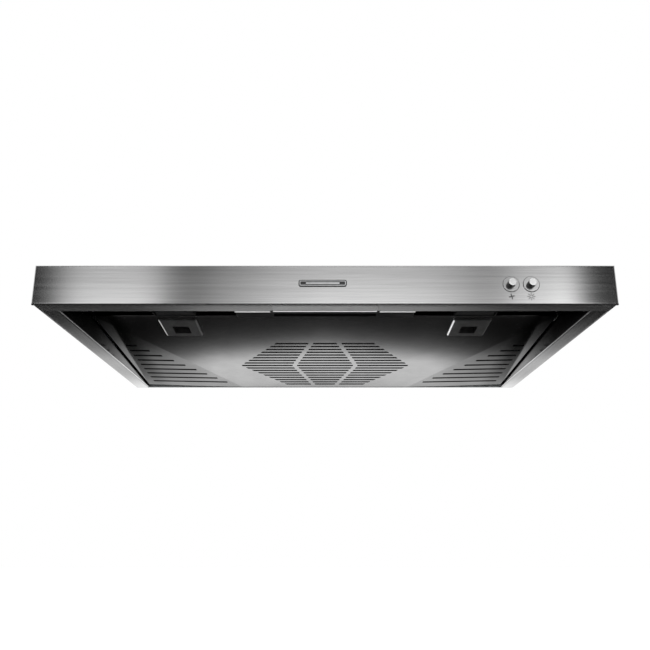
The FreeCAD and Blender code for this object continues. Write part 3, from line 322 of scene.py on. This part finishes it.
# finishes: real grain, scratches and grit are too fine to show, so they are drawn about ten times as coarse

scratchDepth, grainDepth, ribDepth, strandDepth = 0.00005, 0.0001, 0.0002, 0.0003


def paintedInsideShade(tree, colour, look):  # painted shade and light: scales the colour of what lies nearer the middle than innerFace, darker towards the front and lighter towards the rear
    axes = objectAxes(tree)
    side = addNode(tree, "ShaderNodeMath", {"operation": "ABSOLUTE"}, {0: axes.outputs["X"]})
    inside = addNode(tree, "ShaderNodeMath", {"operation": "LESS_THAN", 1: look["innerFace"]},
                     {0: side.outputs[0]})
    level = addNode(tree, "ShaderNodeMapRange", dict(zip(rangeInputs, look["insideShade"])),
                    {"Value": axes.outputs["Y"]})
    scaled = addNode(tree, "ShaderNodeVectorMath", {"operation": "SCALE"},
                     {0: colour.outputs[mixedColour], "Scale": level.outputs[0]})
    return addNode(tree, "ShaderNodeMix", {"data_type": "RGBA"},
                   {0: inside.outputs[0], firstColour: colour.outputs[mixedColour],
                    secondColour: scaled.outputs[0]})


def brushedSteel(name, look):  # rolled sheet, belt brushed: fine scratches one way, so light smears across them
    material, tree = newMaterial(name)
    fine = noiseAt(tree, look["scratch"], fineDetail)
    broad = noiseAt(tree, look["streak"], softDetail)
    both = addNode(tree, "ShaderNodeMath", {"operation": "ADD"},
                   {0: fine.outputs["Fac"], 1: broad.outputs["Fac"]})
    mean = addNode(tree, "ShaderNodeMath", {"operation": "MULTIPLY", 1: 0.5}, {0: both.outputs[0]})
    colour = tonedBy(tree, mean.outputs[0], look)
    # painted shade towards the front of the inner faces and painted light towards the rear
    if "insideShade" in look:
        colour = paintedInsideShade(tree, colour, look)
    smooth, dull = look["roughness"]
    rough = addNode(tree, "ShaderNodeMapRange", {**noiseSpan, "To Min": smooth, "To Max": dull},
                    {"Value": broad.outputs["Fac"]})
    bump = addNode(tree, "ShaderNodeBump", {"Strength": look["bump"], "Distance": scratchDepth},
                   {"Height": fine.outputs["Fac"]})
    across = addNode(tree, "ShaderNodeCombineXYZ", dict(zip("XYZ", look["across"])), {})
    shader = addNode(tree, "ShaderNodeBsdfPrincipled", {"Metallic": 1.0, "Anisotropic": look["anisotropic"]},
                     {"Base Color": colour.outputs[mixedColour], "Roughness": rough.outputs[0],
                      "Normal": bump.outputs[0], "Tangent": across.outputs[0]})
    addNode(tree, "ShaderNodeOutputMaterial", {}, {"Surface": shader.outputs[0]})
    return material


def paintedSeamShade(tree, colour, seams):  # painted shade where the panel meets the frame: its two sides and its front fold
    axes = objectAxes(tree)
    side = addNode(tree, "ShaderNodeMath", {"operation": "ABSOLUTE"}, {0: axes.outputs["X"]})
    rear = addNode(tree, "ShaderNodeMapRange", dict(zip(rangeInputs, seams["rear"])),
                   {"Value": axes.outputs["Y"]})
    sides = addNode(tree, "ShaderNodeMapRange", dict(zip(rangeInputs, seams["side"])),
                    {"Value": side.outputs[0], "To Max": rear.outputs[0]})
    front = addNode(tree, "ShaderNodeMapRange", dict(zip(rangeInputs, seams["front"])),
                    {"Value": axes.outputs["Y"]})
    both = addNode(tree, "ShaderNodeMath", {"operation": "MULTIPLY"},
                   {0: sides.outputs[0], 1: front.outputs[0]})
    scaled = addNode(tree, "ShaderNodeVectorMath", {"operation": "SCALE"}, {0: colour, "Scale": both.outputs[0]})
    return scaled.outputs[0]


def sheetMetal(name, look):  # rolled, plated or cast metal with no direction of its own
    material, tree = newMaterial(name)
    grain = noiseAt(tree, [look["grain"]] * 3, fineDetail)
    cloud = noiseAt(tree, [look["cloud"]] * 3, softDetail)
    colour = tonedBy(tree, cloud.outputs["Fac"], look).outputs[mixedColour]
    # painted shade along the panel's sides and front fold
    if "seams" in look:
        colour = paintedSeamShade(tree, colour, look["seams"])
    smooth, dull = look["roughness"]
    rough = addNode(tree, "ShaderNodeMapRange", {**noiseSpan, "To Min": smooth, "To Max": dull},
                    {"Value": grain.outputs["Fac"]})
    bump = addNode(tree, "ShaderNodeBump", {"Strength": look["bump"], "Distance": grainDepth},
                   {"Height": grain.outputs["Fac"]})
    shader = addNode(tree, "ShaderNodeBsdfPrincipled", {"Metallic": 1.0},
                     {"Base Color": colour, "Roughness": rough.outputs[0], "Normal": bump.outputs[0]})
    addNode(tree, "ShaderNodeOutputMaterial", {}, {"Surface": shader.outputs[0]})
    return material


def galvanised(name, look):  # hot dip zinc: flat crystals, each with its own grey and its own gloss
    material, tree = newMaterial(name)
    place = addNode(tree, "ShaderNodeTexCoord", {}, {})
    crystal = addNode(tree, "ShaderNodeTexVoronoi", {"Scale": 1 / look["crystal"]},
                      {"Vector": place.outputs["Object"]})
    tone = addNode(tree, "ShaderNodeSeparateColor", {}, {"Color": crystal.outputs["Color"]})
    grain = noiseAt(tree, [look["grain"]] * 3, fineDetail)
    colour = addNode(tree, "ShaderNodeMix", {"data_type": "RGBA", firstColour: hexToLinear(look["dark"]),
                                             secondColour: hexToLinear(look["light"])}, {0: tone.outputs["Red"]})
    smooth, dull = look["roughness"]
    rough = addNode(tree, "ShaderNodeMapRange", {"To Min": smooth, "To Max": dull},
                    {"Value": tone.outputs["Green"]})
    bump = addNode(tree, "ShaderNodeBump", {"Strength": look["bump"], "Distance": grainDepth},
                   {"Height": grain.outputs["Fac"]})
    shader = addNode(tree, "ShaderNodeBsdfPrincipled", {"Metallic": 1.0},
                     {"Base Color": colour.outputs[mixedColour], "Roughness": rough.outputs[0],
                      "Normal": bump.outputs[0]})
    addNode(tree, "ShaderNodeOutputMaterial", {}, {"Surface": shader.outputs[0]})
    return material


def moulded(name, look):  # plastic, rubber, paint or enamel: an even colour, a fine texture and a soft shine
    material, tree = newMaterial(name)
    grain = noiseAt(tree, [look["grain"]] * 3, softDetail)
    cloud = noiseAt(tree, [look["cloud"]] * 3, softDetail)
    colour = tonedBy(tree, cloud.outputs["Fac"], look)
    smooth, dull = look["roughness"]
    rough = addNode(tree, "ShaderNodeMapRange", {**noiseSpan, "To Min": smooth, "To Max": dull},
                    {"Value": cloud.outputs["Fac"]})
    bump = addNode(tree, "ShaderNodeBump", {"Strength": look["bump"], "Distance": grainDepth},
                   {"Height": grain.outputs["Fac"]})
    shader = addNode(tree, "ShaderNodeBsdfPrincipled",
                     {"IOR": look["ior"], "Coat Weight": look["coat"], "Specular IOR Level": look["shine"]},
                     {"Base Color": colour.outputs[mixedColour], "Roughness": rough.outputs[0],
                      "Normal": bump.outputs[0]})
    addNode(tree, "ShaderNodeOutputMaterial", {}, {"Surface": shader.outputs[0]})
    return material


def buttonFinish(name, look):  # black anodised stem with a turned bright face
    material, tree = newMaterial(name)
    axes = objectAxes(tree)
    face = addNode(tree, "ShaderNodeMath", {"operation": "LESS_THAN", 1: look["faceY"]}, {0: axes.outputs["Y"]})
    grain = noiseAt(tree, [look["grain"]] * 3, softDetail)
    colour = addNode(tree, "ShaderNodeMix", {"data_type": "RGBA", firstColour: hexToLinear(look["stem"]),
                                             secondColour: hexToLinear(look["face"])}, {0: face.outputs[0]})
    smooth, dull = look["roughness"]
    rough = addNode(tree, "ShaderNodeMapRange", {**noiseSpan, "To Min": smooth, "To Max": dull},
                    {"Value": grain.outputs["Fac"]})
    shader = addNode(tree, "ShaderNodeBsdfPrincipled", {"Metallic": 1.0},
                     {"Base Color": colour.outputs[mixedColour], "Roughness": rough.outputs[0]})
    addNode(tree, "ShaderNodeOutputMaterial", {}, {"Surface": shader.outputs[0]})
    return material


def lampGlass(name, look):  # opal acrylic with fine ribs inside: it scatters light and looks grey when unlit
    material, tree = newMaterial(name)
    place = addNode(tree, "ShaderNodeTexCoord", {}, {})
    ribs = addNode(tree, "ShaderNodeTexWave",
                   {"Scale": 1 / look["rib"], "Distortion": 0.0, "bands_direction": "X"},
                   {"Vector": place.outputs["Object"]})
    bump = addNode(tree, "ShaderNodeBump", {"Strength": look["bump"], "Distance": ribDepth},
                   {"Height": ribs.outputs["Fac"]})
    cloud = noiseAt(tree, [look["cloud"]] * 3, softDetail)
    colour = tonedBy(tree, cloud.outputs["Fac"], look)
    shader = addNode(tree, "ShaderNodeBsdfPrincipled",
                     {"IOR": look["ior"], "Roughness": look["roughness"], "Transmission Weight": look["clear"]},
                     {"Base Color": colour.outputs[mixedColour], "Normal": bump.outputs[0]})
    addNode(tree, "ShaderNodeOutputMaterial", {}, {"Surface": shader.outputs[0]})
    return material


def gridded(name, look):  # staggered cells between thin lines: board tracks, or the strands of expanded metal
    material, tree = newMaterial(name)
    place = addNode(tree, "ShaderNodeTexCoord", {}, {})
    cells = addNode(tree, "ShaderNodeTexBrick",
                    {"Scale": 1 / look["cell"], "Mortar Size": look["line"], "Mortar Smooth": look["soft"],
                     "Color1": hexToLinear(look["light"]), "Color2": hexToLinear(look["dark"]),
                     "Mortar": hexToLinear(look["strand"])},
                    {"Vector": place.outputs["Object"]})
    bump = addNode(tree, "ShaderNodeBump", {"Strength": look["bump"], "Distance": strandDepth},
                   {"Height": cells.outputs["Fac"]})
    shader = addNode(tree, "ShaderNodeBsdfPrincipled",
                     {"Roughness": look["roughness"], "Metallic": look["metal"]},
                     {"Base Color": cells.outputs["Color"], "Normal": bump.outputs[0]})
    addNode(tree, "ShaderNodeOutputMaterial", {}, {"Surface": shader.outputs[0]})
    return material


# brushed stainless sheet: lit bands stand upright across the fascia, with faint streaks along it
fasciaSteel = {"dark": "#bcbcbc", "light": "#cacaca", "roughness": (0.12, 0.15), "bump": 0.04, "anisotropic": 0.9,
               "scratch": (0.06, 0.0011, 0.0011), "streak": (0.22, 0.004, 0.004), "across": (0.0, 0.0, 1.0)}
bodySteel = {"dark": "#a6a6a6", "light": "#bebebe", "roughness": (0.15, 0.18), "bump": 0.03, "anisotropic": 0.7,
             "scratch": (0.06, 0.0012, 0.0012), "streak": (0.2, 0.005, 0.005), "across": (0.0, 1.0, 0.0)}
# the side panels are brushed front to back; their steel is made lighter than the body steel as painted light, and
# their inner faces get painted shade towards the front and painted light towards the rear
sideSteel = {"dark": "#cacaca", "light": "#dcdcdc", "roughness": (0.13, 0.16), "bump": 0.03, "anisotropic": 0.7,
             "scratch": (0.0012, 0.06, 0.0012), "streak": (0.005, 0.2, 0.005), "across": (1.0, 0.0, 0.2),
             "innerFace": 0.3547, "insideShade": (-0.15, -0.01, 0.05, 1.3)}
# bright annealed stainless sheet: a soft mirror, with painted shade at its seams
grilleSteel = {"dark": "#bcbcbc", "light": "#cacaca", "roughness": (0.09, 0.12), "bump": 0.02,
               "grain": 0.0012, "cloud": 0.05,
               "seams": {"side": (0.305, 0.326, 1.0), "rear": (-0.08, 0.1, 0.08, 0.7),
                         "front": (-0.1696, -0.1688, 0.15, 1.0)}}
# galvanised sheet: pale grey with a fine spangle, and zinc plated screws, brighter and smoother
zincSheet = {"dark": "#989b9c", "light": "#b4b7b8", "roughness": (0.34, 0.48), "bump": 0.15, "crystal": 0.0045,
             "grain": 0.0015}
zincScrew = {"dark": "#a9abac", "light": "#c9cbcc", "roughness": (0.2, 0.34), "bump": 0.2, "grain": 0.0006,
             "cloud": 0.004}
# drawn wire is a darker grey than ground bar
springSteel = {"dark": "#76777a", "light": "#9a9b9e", "roughness": (0.2, 0.32), "bump": 0.1, "grain": 0.0005,
               "cloud": 0.006}
shaftSteel = {"dark": "#a3a3a6", "light": "#bfbfc2", "roughness": (0.14, 0.24), "bump": 0.1, "grain": 0.0004,
              "cloud": 0.004}
# drawn steel can, dull with oil
motorCan = {"dark": "#6d7073", "light": "#85888b", "roughness": (0.35, 0.5), "bump": 0.3, "grain": 0.001,
            "cloud": 0.02}
# mill finish aluminium: paler than steel, with a broad soft shine
flapAluminium = {"dark": "#b0b2b4", "light": "#c8cacc", "roughness": (0.3, 0.42), "bump": 0.2, "grain": 0.001,
                 "cloud": 0.03}
frameAluminium = {"dark": "#b4b6b8", "light": "#ced0d2", "roughness": (0.28, 0.4), "bump": 0.2, "grain": 0.001,
                  "cloud": 0.02}
# expanded aluminium: thin grey strands, with the cells between them painted near black as painted shade for the
# depth behind
meshAluminium = {"light": "#0b0b0c", "dark": "#060606", "strand": "#6c6d6f", "cell": 0.009, "line": 0.035,
                 "soft": 0.3, "bump": 0.6, "roughness": 0.5, "metal": 0.6}
# bright chromium plate: a clean mirror
chromeTrim = {"dark": "#d9dadb", "light": "#e6e7e8", "roughness": (0.05, 0.1), "bump": 0.0, "grain": 0.0008,
              "cloud": 0.006}
# satin steel pressing: dark grey without clear reflections
latchSteel = {"dark": "#565656", "light": "#666666", "roughness": (0.42, 0.52), "bump": 0.1, "grain": 0.0008,
              "cloud": 0.012}
# vitreous enamel is glossy and deep, matt paint swallows the light; the matt black paint is painted shade,
# keeping the baffle and strike as dark as the shadow they lie in
blackEnamel = {"dark": "#060606", "light": "#0c0c0c", "roughness": (0.12, 0.2), "bump": 0.05, "grain": 0.0008,
               "cloud": 0.01, "ior": 1.5, "coat": 0.6, "shine": 0.5}
blackPaintForShade = {"dark": "#040404", "light": "#080808", "roughness": (0.6, 0.75), "bump": 0.3, "grain": 0.0012,
              "cloud": 0.03, "ior": 1.5, "coat": 0.0, "shine": 0.15}
# injection moulded plastic: a fine spark texture that softens every highlight
blackPlastic = {"dark": "#0b0b0c", "light": "#141415", "roughness": (0.4, 0.55), "bump": 0.35, "grain": 0.0009,
                "cloud": 0.012, "ior": 1.46, "coat": 0.0, "shine": 0.5}
whitePlastic = {"dark": "#d8d8d4", "light": "#e6e6e2", "roughness": (0.35, 0.5), "bump": 0.3, "grain": 0.0009,
                "cloud": 0.012, "ior": 1.46, "coat": 0.0, "shine": 0.5}
# extruded vinyl sheath: smooth and slightly waxy, and pressed rubber: dull and dark
blackCable = {"dark": "#0c0c0c", "light": "#171717", "roughness": (0.45, 0.6), "bump": 0.2, "grain": 0.001,
              "cloud": 0.02, "ior": 1.52, "coat": 0.0, "shine": 0.5}
rubber = {"dark": "#101010", "light": "#1b1b1b", "roughness": (0.65, 0.8), "bump": 0.4, "grain": 0.0008,
          "cloud": 0.006, "ior": 1.52, "coat": 0.0, "shine": 0.5}
# anodised aluminium button: black stem, bright face back to faceDepth
faceDepth = 0.0006
buttonCap = {"stem": "#0a0a0b", "face": "#f6f6f6", "faceY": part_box("fan_button_cap")[0].y + faceDepth,
             "roughness": (0.14, 0.22), "grain": 0.0006}
opalAcrylic = {"dark": "#707070", "light": "#7e7e7e", "roughness": 0.28, "clear": 0.2, "rib": 0.0012, "bump": 0.3,
               "cloud": 0.02, "ior": 1.49}
# white solder mask over copper: satin white with a tinned track grid
board = {"light": "#e9e9e4", "dark": "#dcdcd6", "strand": "#9a9a92", "cell": 0.008, "line": 0.03, "soft": 0.3,
         "bump": 0.1, "roughness": 0.35, "metal": 0.0}

finishes = {
    "stainless_body": brushedSteel("brushed body steel", bodySteel),
    "brushed_fascia": brushedSteel("brushed fascia steel", fasciaSteel),
    "stainless_grille": sheetMetal("satin grille steel", grilleSteel),
    "galvanised_sheet": galvanised("galvanised sheet", zincSheet),
    "zinc_screws": sheetMetal("zinc plated screws", zincScrew),
    "spring_steel": sheetMetal("tempered spring steel", springSteel),
    "shaft_steel": sheetMetal("ground shaft steel", shaftSteel),
    "black_enamel": moulded("black enamel", blackEnamel),
    "chrome_trim": sheetMetal("polished chrome", chromeTrim),
    "black_paint": moulded("matt black paint standing in for shade", blackPaintForShade),
    "black_plastic": moulded("moulded black plastic", blackPlastic),
    "black_latch": sheetMetal("dark satin latch steel", latchSteel),
    "white_plastic": moulded("moulded white plastic", whitePlastic),
    "lamp_diffuser": lampGlass("opal acrylic", opalAcrylic),
    "circuit_board": gridded("white circuit board", board),
    "motor_can": sheetMetal("drawn motor can", motorCan),
    "aluminium_flap": sheetMetal("aluminium flap", flapAluminium),
    "filter_aluminium": sheetMetal("filter frame aluminium", frameAluminium),
    "filter_mesh": gridded("expanded aluminium", meshAluminium),
    "black_cable": moulded("black cable sheath", blackCable),
    "rubber_pads": moulded("black rubber", rubber),
}
sidePanelFinish = brushedSteel("side panel steel", sideSteel)
capFinish = buttonFinish("button cap", buttonCap)
ownFinish = {
    "side_panel_left": sidePanelFinish,
    "side_panel_right": sidePanelFinish,
    "fan_button_cap": capFinish,
    "light_button_cap": capFinish,
    "latch_bolt_left": finishes["black_plastic"],
    "latch_bolt_right": finishes["black_plastic"],
    "lamp_housing": finishes["black_paint"],
}

for name, node in nodes.items():
    for place in node.material_slots:
        place.material = ownFinish.get(name) or finishes[place.material.name]
print("finishes given to every node")


# printed marks under the two buttons, a fan and a sun, and a painted shadow ring round each button's bezel, where
# its groove shows dark

marks = {"aboveEdge": 0.0108, "thickness": 0.0002}
sun = {"x": 0.2679, "ring": 0.0025, "line": 0.0007, "segments": 32, "rays": 8, "rayFrom": 0.0033,
       "rayTo": 0.0052}
fan = {"x": 0.2424, "blades": 4, "halfLong": 0.0018, "halfWide": 0.00072, "out": 0.002232, "aside": 0.000576,
       "hub": 0.0009, "segments": 16}
bezelShadowRing = {"inner": 0.0104, "outer": 0.0110, "segments": 64}
# screen printed epoxy ink: flat dark grey; the same grey also draws the painted shadow rings round the bezels
ink = {"dark": "#303030", "light": "#3c3c3c", "roughness": (0.5, 0.6), "bump": 0.1, "grain": 0.0005,
       "cloud": 0.002, "ior": 1.5, "coat": 0.0, "shine": 0.5}

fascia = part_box("front_fascia")
inkAndShadowFinish = moulded("printed grey ink and painted shadow", ink)
standUp = Matrix.Rotation(math.radians(90), 4, "X")


def onFascia(x):  # turns a flat shape drawn in x and y to stand on the fascia at x
    return Matrix.Translation((x, fascia[0].y, fascia[0].z + marks["aboveEdge"])) @ standUp


def flatRing(bm, inner, outer, segments):
    disc = bmesh.ops.create_circle(bm, cap_ends=True, segments=segments, radius=outer)
    face = disc["verts"][0].link_faces[0]
    bmesh.ops.inset_region(bm, faces=[face], use_boundary=True, thickness=outer - inner)
    bmesh.ops.delete(bm, geom=[face], context="FACES")


def thicken(bm):
    grown = bmesh.ops.extrude_face_region(bm, geom=bm.faces[:])
    raised = [v for v in grown["geom"] if isinstance(v, bmesh.types.BMVert)]
    bmesh.ops.translate(bm, verts=raised, vec=(0.0, 0.0, marks["thickness"]))
    bmesh.ops.recalc_face_normals(bm, faces=bm.faces)


def makeSun():
    bm = bmesh.new()
    flatRing(bm, sun["ring"] - sun["line"], sun["ring"], sun["segments"])
    push = Matrix.Translation(((sun["rayFrom"] + sun["rayTo"]) / 2, 0.0, 0.0))
    size = Matrix.Diagonal(((sun["rayTo"] - sun["rayFrom"]) / 2, sun["line"] / 2, 1.0, 1.0))
    for i in range(sun["rays"]):
        turn = Matrix.Rotation(math.tau * i / sun["rays"], 4, "Z")
        bmesh.ops.create_grid(bm, x_segments=1, y_segments=1, size=1.0, matrix=turn @ push @ size)
    thicken(bm)
    bmesh.ops.transform(bm, matrix=onFascia(sun["x"]), verts=bm.verts)
    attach(meshObject("lightMark", bm, inkAndShadowFinish), "hood")


def makeFan():
    bm = bmesh.new()
    push = Matrix.Translation((fan["out"], fan["aside"], 0.0))
    size = Matrix.Diagonal((fan["halfLong"], fan["halfWide"], 1.0, 1.0))
    for i in range(fan["blades"]):
        turn = Matrix.Rotation(math.tau * i / fan["blades"], 4, "Z")
        bmesh.ops.create_circle(bm, cap_ends=True, segments=fan["segments"], radius=1.0,
                                matrix=turn @ push @ size)
    bmesh.ops.create_circle(bm, cap_ends=True, segments=fan["segments"], radius=fan["hub"])
    thicken(bm)
    bmesh.ops.transform(bm, matrix=onFascia(fan["x"]), verts=bm.verts)
    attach(meshObject("fanMark", bm, inkAndShadowFinish), "hood")


# a painted shadow ring round the button's bezel
def makeBezelShadowRing(name, button):
    low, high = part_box(button)
    place = Matrix.Translation(((low.x + high.x) / 2, fascia[0].y, (low.z + high.z) / 2))
    bm = bmesh.new()
    flatRing(bm, bezelShadowRing["inner"], bezelShadowRing["outer"], bezelShadowRing["segments"])
    thicken(bm)
    bmesh.ops.transform(bm, matrix=place @ standUp, verts=bm.verts)
    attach(meshObject(name, bm, inkAndShadowFinish), "hood")


makeSun()
makeFan()
makeBezelShadowRing("fanBezelShadow", "fan_button_cap")
makeBezelShadowRing("lightBezelShadow", "light_button_cap")
print("marks printed")


# painted highlights: bright strips on the bevel at the left of each pull, and on the rear edges of the lens and
# of the flange beside it

panelSlope = 0.1031   # radians that the closed panel falls towards the rear

# painted highlight on steel edges, drawn as a rough white so that it stays bright from every side
highlightLook = {"dark": "#e4e4e4", "light": "#f2f2f2", "roughness": (0.35, 0.5), "bump": 0.1, "grain": 0.0006,
            "cloud": 0.01, "ior": 1.5, "coat": 0.0, "shine": 0.5}
highlightStrip = {"width": 0.0017, "lift": 0.0002, "inset": 0.003, "insetRise": 0.1, "thickness": 0.0002}
lampHighlight = {"lensHalf": 0.0693, "lampHalf": 0.1208, "gap": 0.004, "lensY": -0.2775, "tabY": -0.2760,
            "depth": 0.0018, "lift": 0.0002, "thickness": 0.0003}

highlightFinish = moulded("painted highlight edge", highlightLook)


def ribbon(bm, corners, thickness):  # a thin strip through four corners, thickened along its own normal
    face = bm.faces.new([bm.verts.new(c) for c in corners])
    face.normal_update()
    shift = face.normal * thickness
    grown = bmesh.ops.extrude_face_region(bm, geom=[face])
    raised = [v for v in grown["geom"] if isinstance(v, bmesh.types.BMVert)]
    bmesh.ops.translate(bm, verts=raised, vec=shift)


# a painted highlight along the left bevel of the pull
def makeLatchHighlight(side):
    low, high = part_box("latch_handle_" + side)
    width, lift, inset = highlightStrip["width"], highlightStrip["lift"], highlightStrip["inset"]
    frontY, rearY = low.y + inset, high.y - inset
    rearZ = low.z - lift + inset * highlightStrip["insetRise"]
    frontZ = rearZ + math.tan(panelSlope) * (rearY - frontY)
    bm = bmesh.new()
    ribbon(bm, [(low.x - lift, frontY, frontZ + width), (low.x - lift, rearY, rearZ + width),
                (low.x + width, rearY, rearZ), (low.x + width, frontY, frontZ)], highlightStrip["thickness"])
    bmesh.ops.recalc_face_normals(bm, faces=bm.faces)
    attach(meshObject("latchHighlight_" + side, bm, highlightFinish), "latch_" + side)


# painted highlights along the rear edges of the lens and of the flange tabs beside it
def makeLampHighlight():
    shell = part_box("canopy_shell")
    z = shell[0].z - lampHighlight["lift"]
    lens, lamp, gap = lampHighlight["lensHalf"], lampHighlight["lampHalf"], lampHighlight["gap"]
    strips = [(-lens, lens, lampHighlight["lensY"]), (-lamp, -lens - gap, lampHighlight["tabY"]),
              (lens + gap, lamp, lampHighlight["tabY"])]
    bm = bmesh.new()
    for x0, x1, rear in strips:
        front = rear - lampHighlight["depth"]
        ribbon(bm, [(x0, front, z), (x1, front, z), (x1, rear, z), (x0, rear, z)], lampHighlight["thickness"])
    bmesh.ops.recalc_face_normals(bm, faces=bm.faces)
    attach(meshObject("lampHighlight", bm, highlightFinish), "hood")


for side in ("left", "right"):
    makeLatchHighlight(side)
makeLampHighlight()
print("bright edges laid")


# return springs of the latches, wound from wire

spring = {"radius": 0.0026, "wire": 0.00045, "wireSides": 10, "turns": 6.75, "stepsPerTurn": 24, "travel": 0.008}


def makeSpring(side):
    low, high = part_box("latch_spring_" + side)
    along = Vector((0.0, math.cos(panelSlope), -math.sin(panelSlope)))
    length = (high.y - low.y) / along.y
    middle = (low + high) / 2
    start = middle - along * (length / 2 - spring["wire"])
    steps = int(spring["turns"] * spring["stepsPerTurn"])
    rise = along * (length - 2 * spring["wire"]) / steps
    bm = bmesh.new()
    bmesh.ops.create_circle(bm, cap_ends=True, segments=spring["wireSides"], radius=spring["wire"])
    bmesh.ops.transform(bm, matrix=standUp, verts=bm.verts)
    bmesh.ops.translate(bm, verts=bm.verts, vec=start + Vector((spring["radius"], 0.0, 0.0)))
    bmesh.ops.spin(bm, geom=bm.faces[:], cent=start, axis=along, dvec=rise, angle=math.tau * spring["turns"],
                   steps=steps, use_merge=False, use_duplicate=False)
    bmesh.ops.recalc_face_normals(bm, faces=bm.faces)
    coil = meshObject("latchSpring_" + side, bm, finishes["spring_steel"])
    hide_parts("latch_spring_" + side)
    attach(coil, "grille")
    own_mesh(coil)


makeSpring("left")
makeSpring("right")
print("springs wound")
